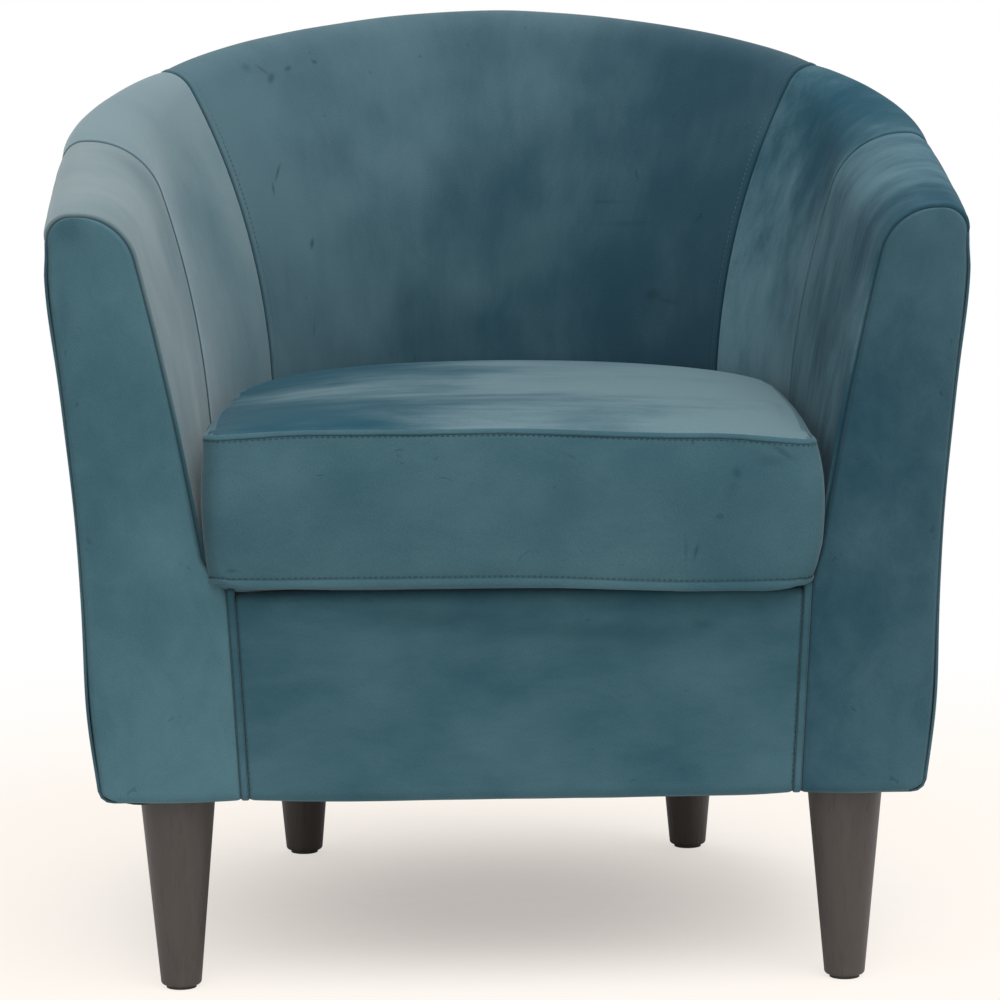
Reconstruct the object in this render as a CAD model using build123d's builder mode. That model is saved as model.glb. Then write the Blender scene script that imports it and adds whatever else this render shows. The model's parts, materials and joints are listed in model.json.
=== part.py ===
from build123d import *
import os
from math import atan2, cos, degrees, hypot, pi, radians, sin, tan

os.makedirs("parts", exist_ok=True)

# All lengths are millimetres and all angles degrees.
# The chair faces -Y, its left side is at -X, and it stands on Z = 0.

# Outside of the tub, with heights taken from its underside
leg_height = 158.0
shell_half_width = 324.0
flare = 4.44
arm_length = 300.0
hem_radius = 10.0
bend_height = 282.0
deck_height = 164.0

# Cross section of the wall at the arm front; each wall is measured from the outer edge of the underside
# in to the inner face at the bend
front_top = 462.0
front_wall = 68.0
front_lean = 14.0
front_roll = 46.0
front_corner = 20.0
front_flat = 6.0

# Cross section where the arm runs into the curve of the back
side_top = 499.0
side_wall = 79.0
side_lean = 18.0
side_roll = 63.0
side_corner = 18.0
side_flat = 3.0

# Cross section at the second seam
shoulder_angle = 36.6
shoulder_wall = 84.0
shoulder_lean = 34.0
shoulder_roll = 34.0
shoulder_corner = 12.0
shoulder_flat = 1.0

# Cross section at the middle of the back
back_top = 588.0
back_wall = 84.0
back_lean = 31.0
back_roll = 34.0
back_corner = 12.0
back_flat = 1.0
back_rise = 100.0

# Lofting steps around the back, and halvings in the search for the top rail's level
wing_steps = 4
back_steps = 10
rail_halvings = 40

# Layers of the wall
cover_thickness = 2.0
layer_gap = 0.5
foam_thickness = 20.0
liner_thickness = 2.0
board_thickness = 3.0
front_pad_thickness = 8.0

# Timber frame
hoop_thickness = 20.0
hoop_ledge = 8.0
post_thickness = 18.0
rib_thickness = 18.0
rib_angle = 50.0
rib_play = 0.6
rail_thickness = 22.0
rail_height = 24.0
rail_play = 2.0
seat_rail_thickness = 22.0
seat_rail_gap = 12.4
back_rail_gap = 10.6
block_leg = 60.0
block_height = 70.0

# Seat deck and springs
cloth_thickness = 1.5
deck_foam_thickness = 12.0
insulator_thickness = 3.0
deck_clearance = 1.0
wire_diameter = 3.8
spring_runs = 19
spring_run_length = 26.0
spring_spacing = 70.0
spring_count = 6
clip_thickness = 1.2
clip_play = 0.2
clip_width = 16.0
clip_tab = 12.0

# Legs and their fixings
leg_top_diameter = 60.0
leg_foot_diameter = 32.0
leg_foot_round = 3.0
front_leg_inset = 59.0
front_leg_setback = 40.0
rear_leg_inset = 34.6
rear_leg_angle = 53.3
glide_diameter = 24.0
glide_thickness = 2.5
glide_pin_diameter = 3.0
glide_pin_length = 12.0
plate_diameter = 44.0
plate_thickness = 2.5
plate_screw_circle = 15.0
plate_screw_count = 4
screw_diameter = 3.5
screw_head_diameter = 7.0
screw_length = 15.0
bolt_diameter = 8.0
bolt_in_leg = 40.0
bolt_in_hoop = 18.0
bore_play = 0.2

# Front border and its welts
welt_width = 6.0
welt_proud = 1.5
welt_gap = 0.4
welt_top_inset = 8.3
welt_slant = 8.6
border_return = 22.0

# Dust cover
dust_thickness = 0.8
dust_front_setback = 12.0
leg_hole_play = 1.0
staple_length = 10.0
staple_width = 1.2
staple_height = 0.6
staple_setback = 14.0
staples_per_side = 5
staples_on_back = 13
staples_on_front = 7

# Seat cushion
cushion_overhang = 20.0
cushion_rest = 0.4
cushion_cover = 2.0
cushion_cover_gap = 0.3
base_height = 10.6
boxing_height = 113.0
crown_height = 14.0
cushion_corner = 26.0
cushion_bow = 4.0
low_side_play = 7.0
middle_side_play = 10.6
high_side_play = 20.1
low_back_play = 3.4
middle_back_play = 4.5
high_back_play = 8.2
boxing_bulge = 4.0

# Share of the crown's rise and of the base's drop, each with the inset from the seam there
crown_curve = ((0.0, 0.0), (0.5, 25.0), (0.87, 75.0), (1.0, 130.0))
base_curve = ((0.0, 0.0), (0.75, 14.0), (1.0, 30.0))

# Cushion zip
zip_start = 28.0
zip_sweep = 124.0
zip_slot = 9.0
zip_slot_depth = 8.0
zip_tape = 1.0
zip_chain_height = 4.0
zip_chain_depth = 0.9
zip_play = 0.3
slider_height = 7.0
slider_thickness = 1.2
slider_lip = 1.2
slider_sweep = 2.5
slider_stop = 1.5

# Levels and depths that follow from the sizes above
underside = leg_height
front_inner = shell_half_width - front_wall
side_inner = shell_half_width - side_wall
shoulder_inner = shell_half_width - shoulder_wall
back_inner = shell_half_width - back_wall
deck_top = underside + deck_height
wall_foot = deck_top + layer_gap
lean_out = radians(flare)
foam_depth = cover_thickness + layer_gap
liner_depth = foam_depth + foam_thickness + layer_gap
frame_depth = liner_depth + liner_thickness + layer_gap
board_depth = cover_thickness + layer_gap
outer_depth = board_depth + board_thickness + layer_gap
hoop_bottom = underside + plate_thickness
hoop_top = hoop_bottom + hoop_thickness
deck_foam_top = deck_top - cloth_thickness - layer_gap
insulator_top = deck_foam_top - deck_foam_thickness - layer_gap
spring_top = insulator_top - insulator_thickness - layer_gap - clip_thickness - clip_play
spring_level = spring_top - wire_diameter / 2
seat_rail_top = spring_level - wire_diameter / 2 - clip_thickness - 2 * clip_play


def outer_at(height, depth=0.0):
    """Distance out to the leaning outside face at a height, at a depth below it."""
    return shell_half_width + (height - underside) * tan(lean_out) - depth / cos(lean_out)


# The back curve is centred so that the cushion front and the back ridge lie equally far from Y = 0.
back_reach = outer_at(underside + back_top - back_corner, back_corner) + back_corner
back_centre = (cushion_overhang + arm_length - back_reach) / 2
arm_front = back_centre - arm_length
hem_centre = Vector(outer_at(underside + hem_radius, hem_radius), underside + hem_radius)


def into_wall(angle):
    """Unit step from the inner face into the wall where the face leans out by an angle."""
    return Vector(cos(angle), -sin(angle))


def around(angle):
    """Unit step at an angle from the outward direction."""
    return Vector(cos(angle), sin(angle))


def arc(point, start, end, depth):
    """Arc through a point function between two angles, at a depth below the surface."""
    ThreePointArc(point(start, depth), point((start + end) / 2, depth), point(end, depth))


class Station:
    """One upright cut through the tub wall, drawn on its plane as distance out and height."""

    def __init__(self, plane, top, inner, lean, roll, corner, flat):
        self.plane = plane
        self.top = underside + top
        self.roll = roll
        self.corner = corner
        self.lean = radians(lean)
        self.corner_centre = Vector(outer_at(self.top - corner, corner), self.top - corner)
        self.roll_centre = Vector(self.corner_centre.X - flat, self.top - roll)
        self.bend = Vector(inner, underside + bend_height)
        chord = self.roll_point(self.lean, 0) - self.bend
        self.foot_lean = 2 * atan2(chord.X, chord.Y) - self.lean
        self.lean_radius = chord.length / 2 / sin((self.lean - self.foot_lean) / 2)

    def roll_point(self, angle, depth):
        return self.roll_centre - into_wall(angle) * (self.roll - depth)

    def face_point(self, angle, depth):
        sweep = into_wall(self.foot_lean) - into_wall(angle)
        return self.bend + sweep * self.lean_radius + into_wall(angle) * depth

    def corner_point(self, angle, depth):
        return self.corner_centre + around(angle) * (self.corner - depth)

    def hem_point(self, angle, depth):
        return hem_centre + around(angle) * (hem_radius - depth)

    def foot(self, height, depth):
        bend = self.face_point(self.foot_lean, depth)
        return Vector(bend.X + (height - bend.Y) * tan(self.foot_lean), height)

    def flat_end(self, depth):
        return Vector(self.corner_centre.X, self.top - depth)

    def rail_top(self):
        """Highest level at which the hollow of the wall still takes the top rail."""
        low = self.foot_lean
        high = self.lean
        for _ in range(rail_halvings):
            middle = (low + high) / 2
            inside = self.face_point(middle, frame_depth)
            room = outer_at(inside.Y, outer_depth) - inside.X
            if room > rail_thickness + rail_play:
                low = middle
            else:
                high = middle
        return self.face_point(low, frame_depth).Y


def between(start, end, share):
    return [a + (b - a) * share for a, b in zip(start, end)]


front_cut = (front_inner, front_lean, front_roll, front_corner, front_flat)
side_cut = (side_inner, side_lean, side_roll, side_corner, side_flat)
shoulder_cut = (shoulder_inner, shoulder_lean, shoulder_roll, shoulder_corner, shoulder_flat)
back_cut = (back_inner, back_lean, back_roll, back_corner, back_flat)


def arm_station(side, y):
    """Cut across one arm at a place between the arm front and the back curve."""
    share = (y - arm_front) / arm_length
    plane = Plane(origin=(0, y, 0), x_dir=(side, 0, 0), z_dir=(0, -side, 0))
    top = front_top + (side_top - front_top) * share
    return Station(plane, top, *between(front_cut, side_cut, share))


def radial_plane(angle):
    """Upright plane through the centre of the back curve, at an angle from +X."""
    turn = radians(angle)
    return Plane(
        origin=(0, back_centre, 0),
        x_dir=(cos(turn), sin(turn), 0),
        z_dir=(sin(turn), -cos(turn), 0),
    )


def back_station(angle):
    """Cut across the curved back at an angle from +X."""
    turn = min(angle, 180 - angle)
    share = turn / 90
    rise = (share**3 - 2 * share**2 + share) * back_rise
    top = side_top + rise + (3 * share**2 - 2 * share**3) * (back_top - side_top)
    if turn < shoulder_angle:
        cut = between(side_cut, shoulder_cut, turn / shoulder_angle)
    else:
        cut = between(shoulder_cut, back_cut, (turn - shoulder_angle) / (90 - shoulder_angle))
    return Station(radial_plane(angle), top, *cut)


def wall_station(angle):
    """Cut at an angle around the back, or on the arm just past either end of the curve."""
    if angle < 0:
        return arm_station(1, back_centre + radians(angle) * back_inner)
    if angle > 180:
        return arm_station(-1, back_centre - radians(angle - 180) * back_inner)
    return back_station(angle)


def sweep_of(start, end, steps):
    """Cuts of the back at even steps between two angles."""
    return [back_station(start + (end - start) * step / steps) for step in range(steps + 1)]


def arm_run(side, start, end):
    """Cuts at the two ends of one straight arm."""
    return [arm_station(side, start), arm_station(side, end)]


sides = {"left": -1, "right": 1}
wing_cuts = {
    "right": sweep_of(0, shoulder_angle, wing_steps),
    "left": sweep_of(180 - shoulder_angle, 180, wing_steps),
}
back_cuts = sweep_of(shoulder_angle, 180 - shoulder_angle, back_steps)
front_cuts = {name: arm_station(side, arm_front) for name, side in sides.items()}
round_cuts = wing_cuts["right"] + back_cuts

# The welts run down from just inside the feet of the arms.
welt_top_x = front_cuts["right"].foot(deck_top, 0).X - welt_top_inset
welt_bottom_x = welt_top_x - welt_slant


def inside_cover_outline(cut):
    """Inside cover from the deck over the roll to the end of the outer corner."""
    for depth in (0, cover_thickness):
        Line(cut.foot(wall_foot, depth), cut.face_point(cut.foot_lean, depth))
        arc(cut.face_point, cut.foot_lean, cut.lean, depth)
        arc(cut.roll_point, cut.lean, pi / 2, depth)
        Line(cut.roll_point(pi / 2, depth), cut.flat_end(depth))
        arc(cut.corner_point, pi / 2, -lean_out, depth)
    Line(cut.foot(wall_foot, 0), cut.foot(wall_foot, cover_thickness))
    Line(cut.corner_point(-lean_out, 0), cut.corner_point(-lean_out, cover_thickness))


def outside_cover_outline(cut):
    """Outside cover from the outer corner down to the turned hem."""
    down = Vector(-sin(lean_out), -cos(lean_out)) * layer_gap
    for depth in (0, cover_thickness):
        Line(cut.corner_point(-lean_out, depth) + down, cut.hem_point(-lean_out, depth))
        arc(cut.hem_point, -lean_out, -pi / 2, depth)
    Line(cut.corner_point(-lean_out, 0) + down, cut.corner_point(-lean_out, cover_thickness) + down)
    Line(cut.hem_point(-pi / 2, 0), cut.hem_point(-pi / 2, cover_thickness))


def padding_outline(cut, start, thickness):
    """Layer behind the inside cover, from the deck to the top of the wall."""
    for depth in (start, start + thickness):
        Line(cut.foot(wall_foot, depth), cut.face_point(cut.foot_lean, depth))
        arc(cut.face_point, cut.foot_lean, cut.lean, depth)
        arc(cut.roll_point, cut.lean, pi / 2, depth)
    Line(cut.foot(wall_foot, start), cut.foot(wall_foot, start + thickness))
    Line(cut.roll_point(pi / 2, start), cut.roll_point(pi / 2, start + thickness))


def foam_outline(cut):
    padding_outline(cut, foam_depth, foam_thickness)


def liner_outline(cut):
    padding_outline(cut, liner_depth, liner_thickness)


def board_outline(cut):
    """Stiff board behind the outside cover, from the outer corner to the hem."""
    Polyline(
        cut.corner_point(-lean_out, board_depth),
        cut.hem_point(-lean_out, board_depth),
        cut.hem_point(-lean_out, board_depth + board_thickness),
        cut.corner_point(-lean_out, board_depth + board_thickness),
        close=True,
    )


def rail_outline(cut):
    """Top rail, leaning with the outside face."""
    top = cut.rail_top()
    bottom = top - rail_height
    Polyline(
        (outer_at(top, outer_depth) - rail_thickness, top),
        (outer_at(top, outer_depth), top),
        (outer_at(bottom, outer_depth), bottom),
        (outer_at(bottom, outer_depth) - rail_thickness, bottom),
        close=True,
    )


def wall_loft(outline, cuts):
    """Run one layer of the wall through a row of cuts."""
    sections = []
    for cut in cuts:
        with BuildSketch(cut.plane) as section:
            with BuildLine():
                outline(cut)
            make_face()
        sections.append(section.sketch)
    loft(sections, ruled=len(cuts) == 2)


def upright_outline(cut, depth):
    """Hollow of the wall that a post or a rib fills, standing on the base hoop."""
    foot = cut.foot(wall_foot, depth)
    Polyline(
        cut.face_point(cut.foot_lean, depth),
        foot,
        (foot.X, hoop_top),
        (outer_at(hoop_top, outer_depth), hoop_top),
        (outer_at(cut.top - depth, outer_depth), cut.top - depth),
        cut.roll_point(pi / 2, depth),
    )
    arc(cut.face_point, cut.foot_lean, cut.lean, depth)
    arc(cut.roll_point, cut.lean, pi / 2, depth)


def arm_end_outline(cut, depth):
    """Front end of an arm, inset from the covers that frame it, with its edge along the welt."""
    edge = welt_width / 2 + welt_gap
    Polyline(
        cut.face_point(cut.foot_lean, depth),
        cut.foot(wall_foot, depth),
        (welt_top_x + edge, deck_top),
        (welt_bottom_x + edge, underside + depth),
        cut.hem_point(-pi / 2, depth),
    )
    arc(cut.hem_point, -pi / 2, -lean_out, depth)
    Line(cut.hem_point(-lean_out, depth), cut.corner_point(-lean_out, depth))
    arc(cut.corner_point, -lean_out, pi / 2, depth)
    Line(cut.flat_end(depth), cut.roll_point(pi / 2, depth))
    arc(cut.roll_point, pi / 2, cut.lean, depth)
    arc(cut.face_point, cut.lean, cut.foot_lean, depth)


def tub_outline(half_width, radius, front, corner, bow):
    """Plan of the seat: a front edge, two sides and a half round back."""
    diagonal = corner * (1 - sin(pi / 4))
    ThreePointArc((corner - half_width, front), (0, front - bow), (half_width - corner, front))
    for side in sides.values():
        ThreePointArc(
            (side * (half_width - corner), front),
            (side * (half_width - diagonal), front + diagonal),
            (side * half_width, front + corner),
        )
        Line((side * half_width, front + corner), (side * radius, back_centre))
        ThreePointArc(
            (side * radius, back_centre),
            (side * radius * cos(pi / 4), back_centre + radius * sin(pi / 4)),
            (0, back_centre + radius),
        )


def store(piece, name):
    """Label a finished piece and write it."""
    piece.part.label = name
    export_step(piece.part, f"parts/{name}.step")


# Tapered legs, each with a bore for its hanger bolt and a pilot for its glide
front_leg_x = shell_half_width - front_leg_inset
front_leg_y = arm_front + front_leg_setback
rear_leg_radius = shell_half_width - rear_leg_inset
rear_leg_x = rear_leg_radius * cos(radians(rear_leg_angle))
rear_leg_y = back_centre + rear_leg_radius * sin(radians(rear_leg_angle))
leg_places = {
    "front_left": (-front_leg_x, front_leg_y),
    "front_right": (front_leg_x, front_leg_y),
    "rear_left": (-rear_leg_x, rear_leg_y),
    "rear_right": (rear_leg_x, rear_leg_y),
}
for name, place in leg_places.items():
    with BuildPart() as leg:
        with BuildSketch(Plane.XY.offset(glide_thickness)):
            with Locations(place):
                Circle(leg_foot_diameter / 2)
        with BuildSketch(Plane.XY.offset(leg_height)):
            with Locations(place):
                Circle(leg_top_diameter / 2)
        loft()
        fillet(leg.faces().sort_by(Axis.Z)[0].edges(), leg_foot_round)
        with BuildSketch(Plane.XY.offset(leg_height)):
            with Locations(place):
                Circle((bolt_diameter + bore_play) / 2)
        extrude(amount=-bolt_in_leg - bore_play, mode=Mode.SUBTRACT)
        with BuildSketch(Plane.XY.offset(glide_thickness)):
            with Locations(place):
                Circle((glide_pin_diameter + bore_play) / 2)
        extrude(amount=glide_pin_length + bore_play, mode=Mode.SUBTRACT)
    store(leg, f"leg_{name}")

# Nail-on glides under the legs
with BuildPart() as leg_glides:
    with BuildSketch():
        with Locations(*leg_places.values()):
            Circle(glide_diameter / 2)
    extrude(amount=glide_thickness)
    with BuildSketch():
        with Locations(*leg_places.values()):
            Circle(glide_pin_diameter / 2)
    extrude(amount=glide_thickness + glide_pin_length)
store(leg_glides, "leg_glides")

# Hanger bolts between the legs and the base hoop
with BuildPart() as leg_hanger_bolts:
    with BuildSketch(Plane.XY.offset(leg_height - bolt_in_leg)):
        with Locations(*leg_places.values()):
            Circle(bolt_diameter / 2)
    extrude(amount=bolt_in_leg + plate_thickness + bolt_in_hoop)
store(leg_hanger_bolts, "leg_hanger_bolts")

# Steel plates that the legs screw up against
with BuildPart() as leg_mount_plates:
    with BuildSketch(Plane.XY.offset(underside)):
        with Locations(*leg_places.values()):
            Circle(plate_diameter / 2)
            Circle((bolt_diameter + bore_play) / 2, mode=Mode.SUBTRACT)
    extrude(amount=plate_thickness)
    for place in leg_places.values():
        with Locations(Plane((*place, underside), z_dir=(0, 0, -1))):
            with PolarLocations(plate_screw_circle, plate_screw_count):
                CounterSinkHole(
                    (screw_diameter + bore_play) / 2,
                    (screw_head_diameter + bore_play) / 2,
                    plate_thickness,
                )
store(leg_mount_plates, "leg_mount_plates")

# Countersunk screws that hold the plates to the hoop
head_depth = (screw_head_diameter - screw_diameter) / 2
with BuildPart() as leg_plate_screws:
    for place in leg_places.values():
        with Locations((*place, underside)):
            with PolarLocations(plate_screw_circle, plate_screw_count):
                Cone(
                    screw_head_diameter / 2,
                    screw_diameter / 2,
                    head_depth,
                    align=(Align.CENTER, Align.CENTER, Align.MIN),
                )
                Cylinder(screw_diameter / 2, screw_length, align=(Align.CENTER, Align.CENTER, Align.MIN))
store(leg_plate_screws, "leg_plate_screws")

# Base hoop: one plywood U under the arms and the back, with a ledge inside the seat rails
post_inner = front_cuts["right"].foot(wall_foot, frame_depth).X
rib_inner = min(cut.foot(wall_foot, frame_depth + rib_play).X for cut in round_cuts)
seat_rail_outer = min(post_inner, rib_inner) - seat_rail_gap
hoop_inner = seat_rail_outer - seat_rail_thickness - hoop_ledge
hoop_outer = hem_centre.X - layer_gap
frame_front = arm_front + cover_thickness + front_pad_thickness + 2 * layer_gap
with BuildPart() as base_hoop:
    with BuildSketch(Plane.XY.offset(hoop_bottom)):
        with BuildLine():
            for radius in (hoop_inner, hoop_outer):
                Line((-radius, frame_front), (-radius, back_centre))
                ThreePointArc((-radius, back_centre), (0, back_centre + radius), (radius, back_centre))
                Line((radius, back_centre), (radius, frame_front))
            Line((hoop_inner, frame_front), (hoop_outer, frame_front))
            Line((-hoop_inner, frame_front), (-hoop_outer, frame_front))
        make_face()
        for place in leg_places.values():
            with Locations(place):
                Circle((bolt_diameter + bore_play) / 2, mode=Mode.SUBTRACT)
                with PolarLocations(plate_screw_circle, plate_screw_count):
                    Circle((screw_diameter + bore_play) / 2, mode=Mode.SUBTRACT)
    extrude(amount=hoop_thickness)
store(base_hoop, "base_hoop")

# Seat rails standing on the hoop, as a box that carries the springs
seat_rail_height = seat_rail_top - hoop_top
with BuildPart() as front_rail:
    with BuildSketch(Plane.XY.offset(hoop_top)):
        with Locations((0, frame_front)):
            Rectangle(
                2 * (post_inner - layer_gap), seat_rail_thickness, align=(Align.CENTER, Align.MIN)
            )
    extrude(amount=seat_rail_height)
store(front_rail, "front_rail")

rib_turn = radians(rib_angle)
rib_corner = rib_inner * sin(rib_turn) - rib_thickness / 2 * cos(rib_turn)
back_rail_front = back_centre + rib_corner - back_rail_gap - seat_rail_thickness
with BuildPart() as back_rail:
    with BuildSketch(Plane.XY.offset(hoop_top)):
        with Locations((0, back_rail_front)):
            Rectangle(2 * seat_rail_outer, seat_rail_thickness, align=(Align.CENTER, Align.MIN))
    extrude(amount=seat_rail_height)
store(back_rail, "back_rail")

front_rail_back = frame_front + seat_rail_thickness
side_rail_length = back_rail_front - front_rail_back
for name, side in sides.items():
    with BuildPart() as side_rail:
        with BuildSketch(Plane.XY.offset(hoop_top)):
            with Locations((side * (seat_rail_outer - seat_rail_thickness / 2), front_rail_back)):
                Rectangle(seat_rail_thickness, side_rail_length, align=(Align.CENTER, Align.MIN))
        extrude(amount=seat_rail_height)
    store(side_rail, f"side_rail_{name}")

# Glue blocks in the four corners of the seat box
box_half = seat_rail_outer - seat_rail_thickness
with BuildPart() as corner_blocks:
    with BuildSketch(Plane.XY.offset(hoop_top)):
        for side in sides.values():
            for corner_y, inward in ((front_rail_back, 1), (back_rail_front, -1)):
                with BuildLine():
                    Polyline(
                        (side * box_half, corner_y),
                        (side * (box_half - block_leg), corner_y),
                        (side * box_half, corner_y + inward * block_leg),
                        close=True,
                    )
                make_face()
    extrude(amount=block_height)
store(corner_blocks, "corner_blocks")

# Front posts, ribs of the back and the rails along the top of the wall
post_back = frame_front + post_thickness
for name, side in sides.items():
    with BuildPart() as arm_post:
        with BuildSketch(arm_station(side, frame_front).plane):
            with BuildLine():
                upright_outline(front_cuts[name], frame_depth)
            make_face()
        extrude(amount=-side * post_thickness, dir=(0, -side, 0))
    store(arm_post, f"arm_post_{name}")

rib_angles = {
    "rib_right": 0,
    "rib_back_right": rib_angle,
    "rib_back_center": 90,
    "rib_back_left": 180 - rib_angle,
    "rib_left": 180,
}
rib_half_turn = degrees(rib_thickness / 2 / back_inner)
for name, angle in rib_angles.items():
    cut = back_station(angle)
    nearby = [wall_station(angle - rib_half_turn), cut, wall_station(angle + rib_half_turn)]
    rib_top = min(near.rail_top() for near in nearby) - rail_height - layer_gap
    with BuildPart() as rib:
        with BuildSketch(cut.plane):
            with BuildLine():
                upright_outline(cut, frame_depth + rib_play)
            make_face()
            with Locations((0, rib_top)):
                Rectangle(2 * cut.top, cut.top, align=(Align.CENTER, Align.MAX), mode=Mode.INTERSECT)
        extrude(amount=rib_thickness / 2, both=True)
    store(rib, name)

for name, side in sides.items():
    with BuildPart() as arm_rail:
        wall_loft(rail_outline, arm_run(side, post_back, back_centre))
    store(arm_rail, f"arm_rail_{name}")

with BuildPart() as back_top_rail:
    wall_loft(rail_outline, wing_cuts["right"])
    wall_loft(rail_outline, back_cuts)
    wall_loft(rail_outline, wing_cuts["left"])
store(back_top_rail, "back_top_rail")

# Boards, foam, covers and liners of the arms
for name, side in sides.items():
    behind_pad = arm_run(side, frame_front, back_centre)
    full_arm = arm_run(side, arm_front, back_centre)
    with BuildPart() as outer_board:
        wall_loft(board_outline, behind_pad)
    store(outer_board, f"outer_board_{name}")
    with BuildPart() as arm_foam:
        wall_loft(foam_outline, behind_pad)
    store(arm_foam, f"arm_foam_{name}")
    with BuildPart() as inside_arm_cover:
        wall_loft(inside_cover_outline, full_arm)
    store(inside_arm_cover, f"inside_arm_cover_{name}")
    with BuildPart() as inside_wing_cover:
        wall_loft(inside_cover_outline, wing_cuts[name])
    store(inside_wing_cover, f"inside_wing_cover_{name}")
    with BuildPart() as outside_arm_cover:
        wall_loft(outside_cover_outline, full_arm)
        wall_loft(outside_cover_outline, wing_cuts[name])
    store(outside_arm_cover, f"outside_arm_cover_{name}")

with BuildPart() as arm_liners:
    for side in sides.values():
        wall_loft(liner_outline, arm_run(side, frame_front, back_centre))
store(arm_liners, "arm_liners")

# Board, liner, foam and covers of the back
with BuildPart() as outer_board_back:
    wall_loft(board_outline, wing_cuts["right"])
    wall_loft(board_outline, back_cuts)
    wall_loft(board_outline, wing_cuts["left"])
store(outer_board_back, "outer_board_back")

with BuildPart() as liner_back:
    wall_loft(liner_outline, wing_cuts["right"])
    wall_loft(liner_outline, back_cuts)
    wall_loft(liner_outline, wing_cuts["left"])
store(liner_back, "liner_back")

with BuildPart() as back_foam:
    wall_loft(foam_outline, wing_cuts["right"])
    wall_loft(foam_outline, back_cuts)
    wall_loft(foam_outline, wing_cuts["left"])
store(back_foam, "back_foam")

with BuildPart() as inside_back_cover:
    wall_loft(inside_cover_outline, back_cuts)
store(inside_back_cover, "inside_back_cover")

with BuildPart() as outside_back_cover:
    wall_loft(outside_cover_outline, back_cuts)
store(outside_back_cover, "outside_back_cover")

# Front ends of the arms: a thin pad over the post and the sewn panel over the pad
panel_inset = cover_thickness + welt_gap
pad_front = arm_front + cover_thickness + layer_gap
for name, side in sides.items():
    with BuildPart() as arm_front_panel:
        with BuildSketch(arm_station(side, arm_front).plane):
            with BuildLine():
                arm_end_outline(front_cuts[name], panel_inset)
            make_face()
        extrude(amount=cover_thickness, dir=(0, 1, 0))
    store(arm_front_panel, f"arm_front_panel_{name}")
    with BuildPart() as arm_front_pad:
        with BuildSketch(arm_station(side, pad_front).plane):
            with BuildLine():
                arm_end_outline(front_cuts[name], foam_depth)
            make_face()
        extrude(amount=front_pad_thickness, dir=(0, 1, 0))
    store(arm_front_pad, f"arm_front_pad_{name}")

# Front border between the arms, its pad and the two welts beside it
border_edge = welt_width / 2 + welt_gap
front_plane = Plane(origin=(0, arm_front, 0), x_dir=(1, 0, 0), z_dir=(0, -1, 0))
border_top_half = welt_top_x - border_edge
border_bottom_half = welt_bottom_x - border_edge
with BuildPart() as front_border_cover:
    with BuildSketch(front_plane):
        with BuildLine():
            Polyline(
                (-border_bottom_half, underside),
                (border_bottom_half, underside),
                (border_top_half, deck_top),
                (-border_top_half, deck_top),
                close=True,
            )
        make_face()
    extrude(amount=-cover_thickness)
    with BuildSketch(front_plane.offset(-cover_thickness)):
        with Locations((0, deck_top)):
            Rectangle(2 * border_top_half, cover_thickness, align=(Align.CENTER, Align.MAX))
    extrude(amount=-border_return)
store(front_border_cover, "front_border_cover")

with BuildPart() as front_border_pad:
    with BuildSketch(front_plane.offset(-cover_thickness - layer_gap)):
        with BuildLine():
            Polyline(
                (-border_bottom_half, hoop_bottom),
                (border_bottom_half, hoop_bottom),
                (border_top_half, seat_rail_top),
                (-border_top_half, seat_rail_top),
                close=True,
            )
        make_face()
    extrude(amount=-front_pad_thickness)
store(front_border_pad, "front_border_pad")

with BuildPart() as front_welts:
    with BuildSketch(front_plane.offset(welt_proud)):
        for side in sides.values():
            with BuildLine():
                Polyline(
                    (side * (welt_bottom_x - welt_width / 2), underside),
                    (side * (welt_bottom_x + welt_width / 2), underside),
                    (side * (welt_top_x + welt_width / 2), deck_top),
                    (side * (welt_top_x - welt_width / 2), deck_top),
                    close=True,
                )
            make_face()
    extrude(amount=-welt_proud - cover_thickness)
store(front_welts, "front_welts")

# Sinuous seat springs from the front rail to the back rail, held by curled clips
spring_front = frame_front + seat_rail_thickness / 2
spring_back = back_rail_front + seat_rail_thickness / 2
pitch = (spring_back - spring_front) / (spring_runs - 1)
half_run = spring_run_length / 2
spring_places = [(place - (spring_count - 1) / 2) * spring_spacing for place in range(spring_count)]
with BuildPart() as seat_springs:
    for x in spring_places:
        with BuildLine(Plane.XY.offset(spring_level)) as wire:
            for run in range(spring_runs):
                way = 1 if run % 2 == 0 else -1
                y = spring_front + run * pitch
                Line((x - way * half_run, y), (x + way * half_run, y))
                if run < spring_runs - 1:
                    ThreePointArc(
                        (x + way * half_run, y),
                        (x + way * (half_run + pitch / 2), y + pitch / 2),
                        (x + way * half_run, y + pitch),
                    )
        with BuildSketch(Plane((x - half_run, spring_front, spring_level), z_dir=(1, 0, 0))):
            Circle(wire_diameter / 2)
        sweep(path=wire.wires()[0])
store(seat_springs, "seat_springs")

clip_inner = wire_diameter / 2 + clip_play
clip_outer = clip_inner + clip_thickness
with BuildPart() as spring_clips:
    for x in spring_places:
        for y, way in ((spring_front, -1), (spring_back, 1)):
            clip_plane = Plane((x, y, spring_level), x_dir=(0, 1, 0), z_dir=(1, 0, 0))
            with BuildSketch(clip_plane):
                Circle(clip_outer)
                with Locations((way * clip_tab / 2, -clip_outer + clip_thickness / 2)):
                    Rectangle(clip_tab, clip_thickness)
                Circle(clip_inner, mode=Mode.SUBTRACT)
            extrude(amount=clip_width / 2, both=True)
store(spring_clips, "spring_clips")

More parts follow.
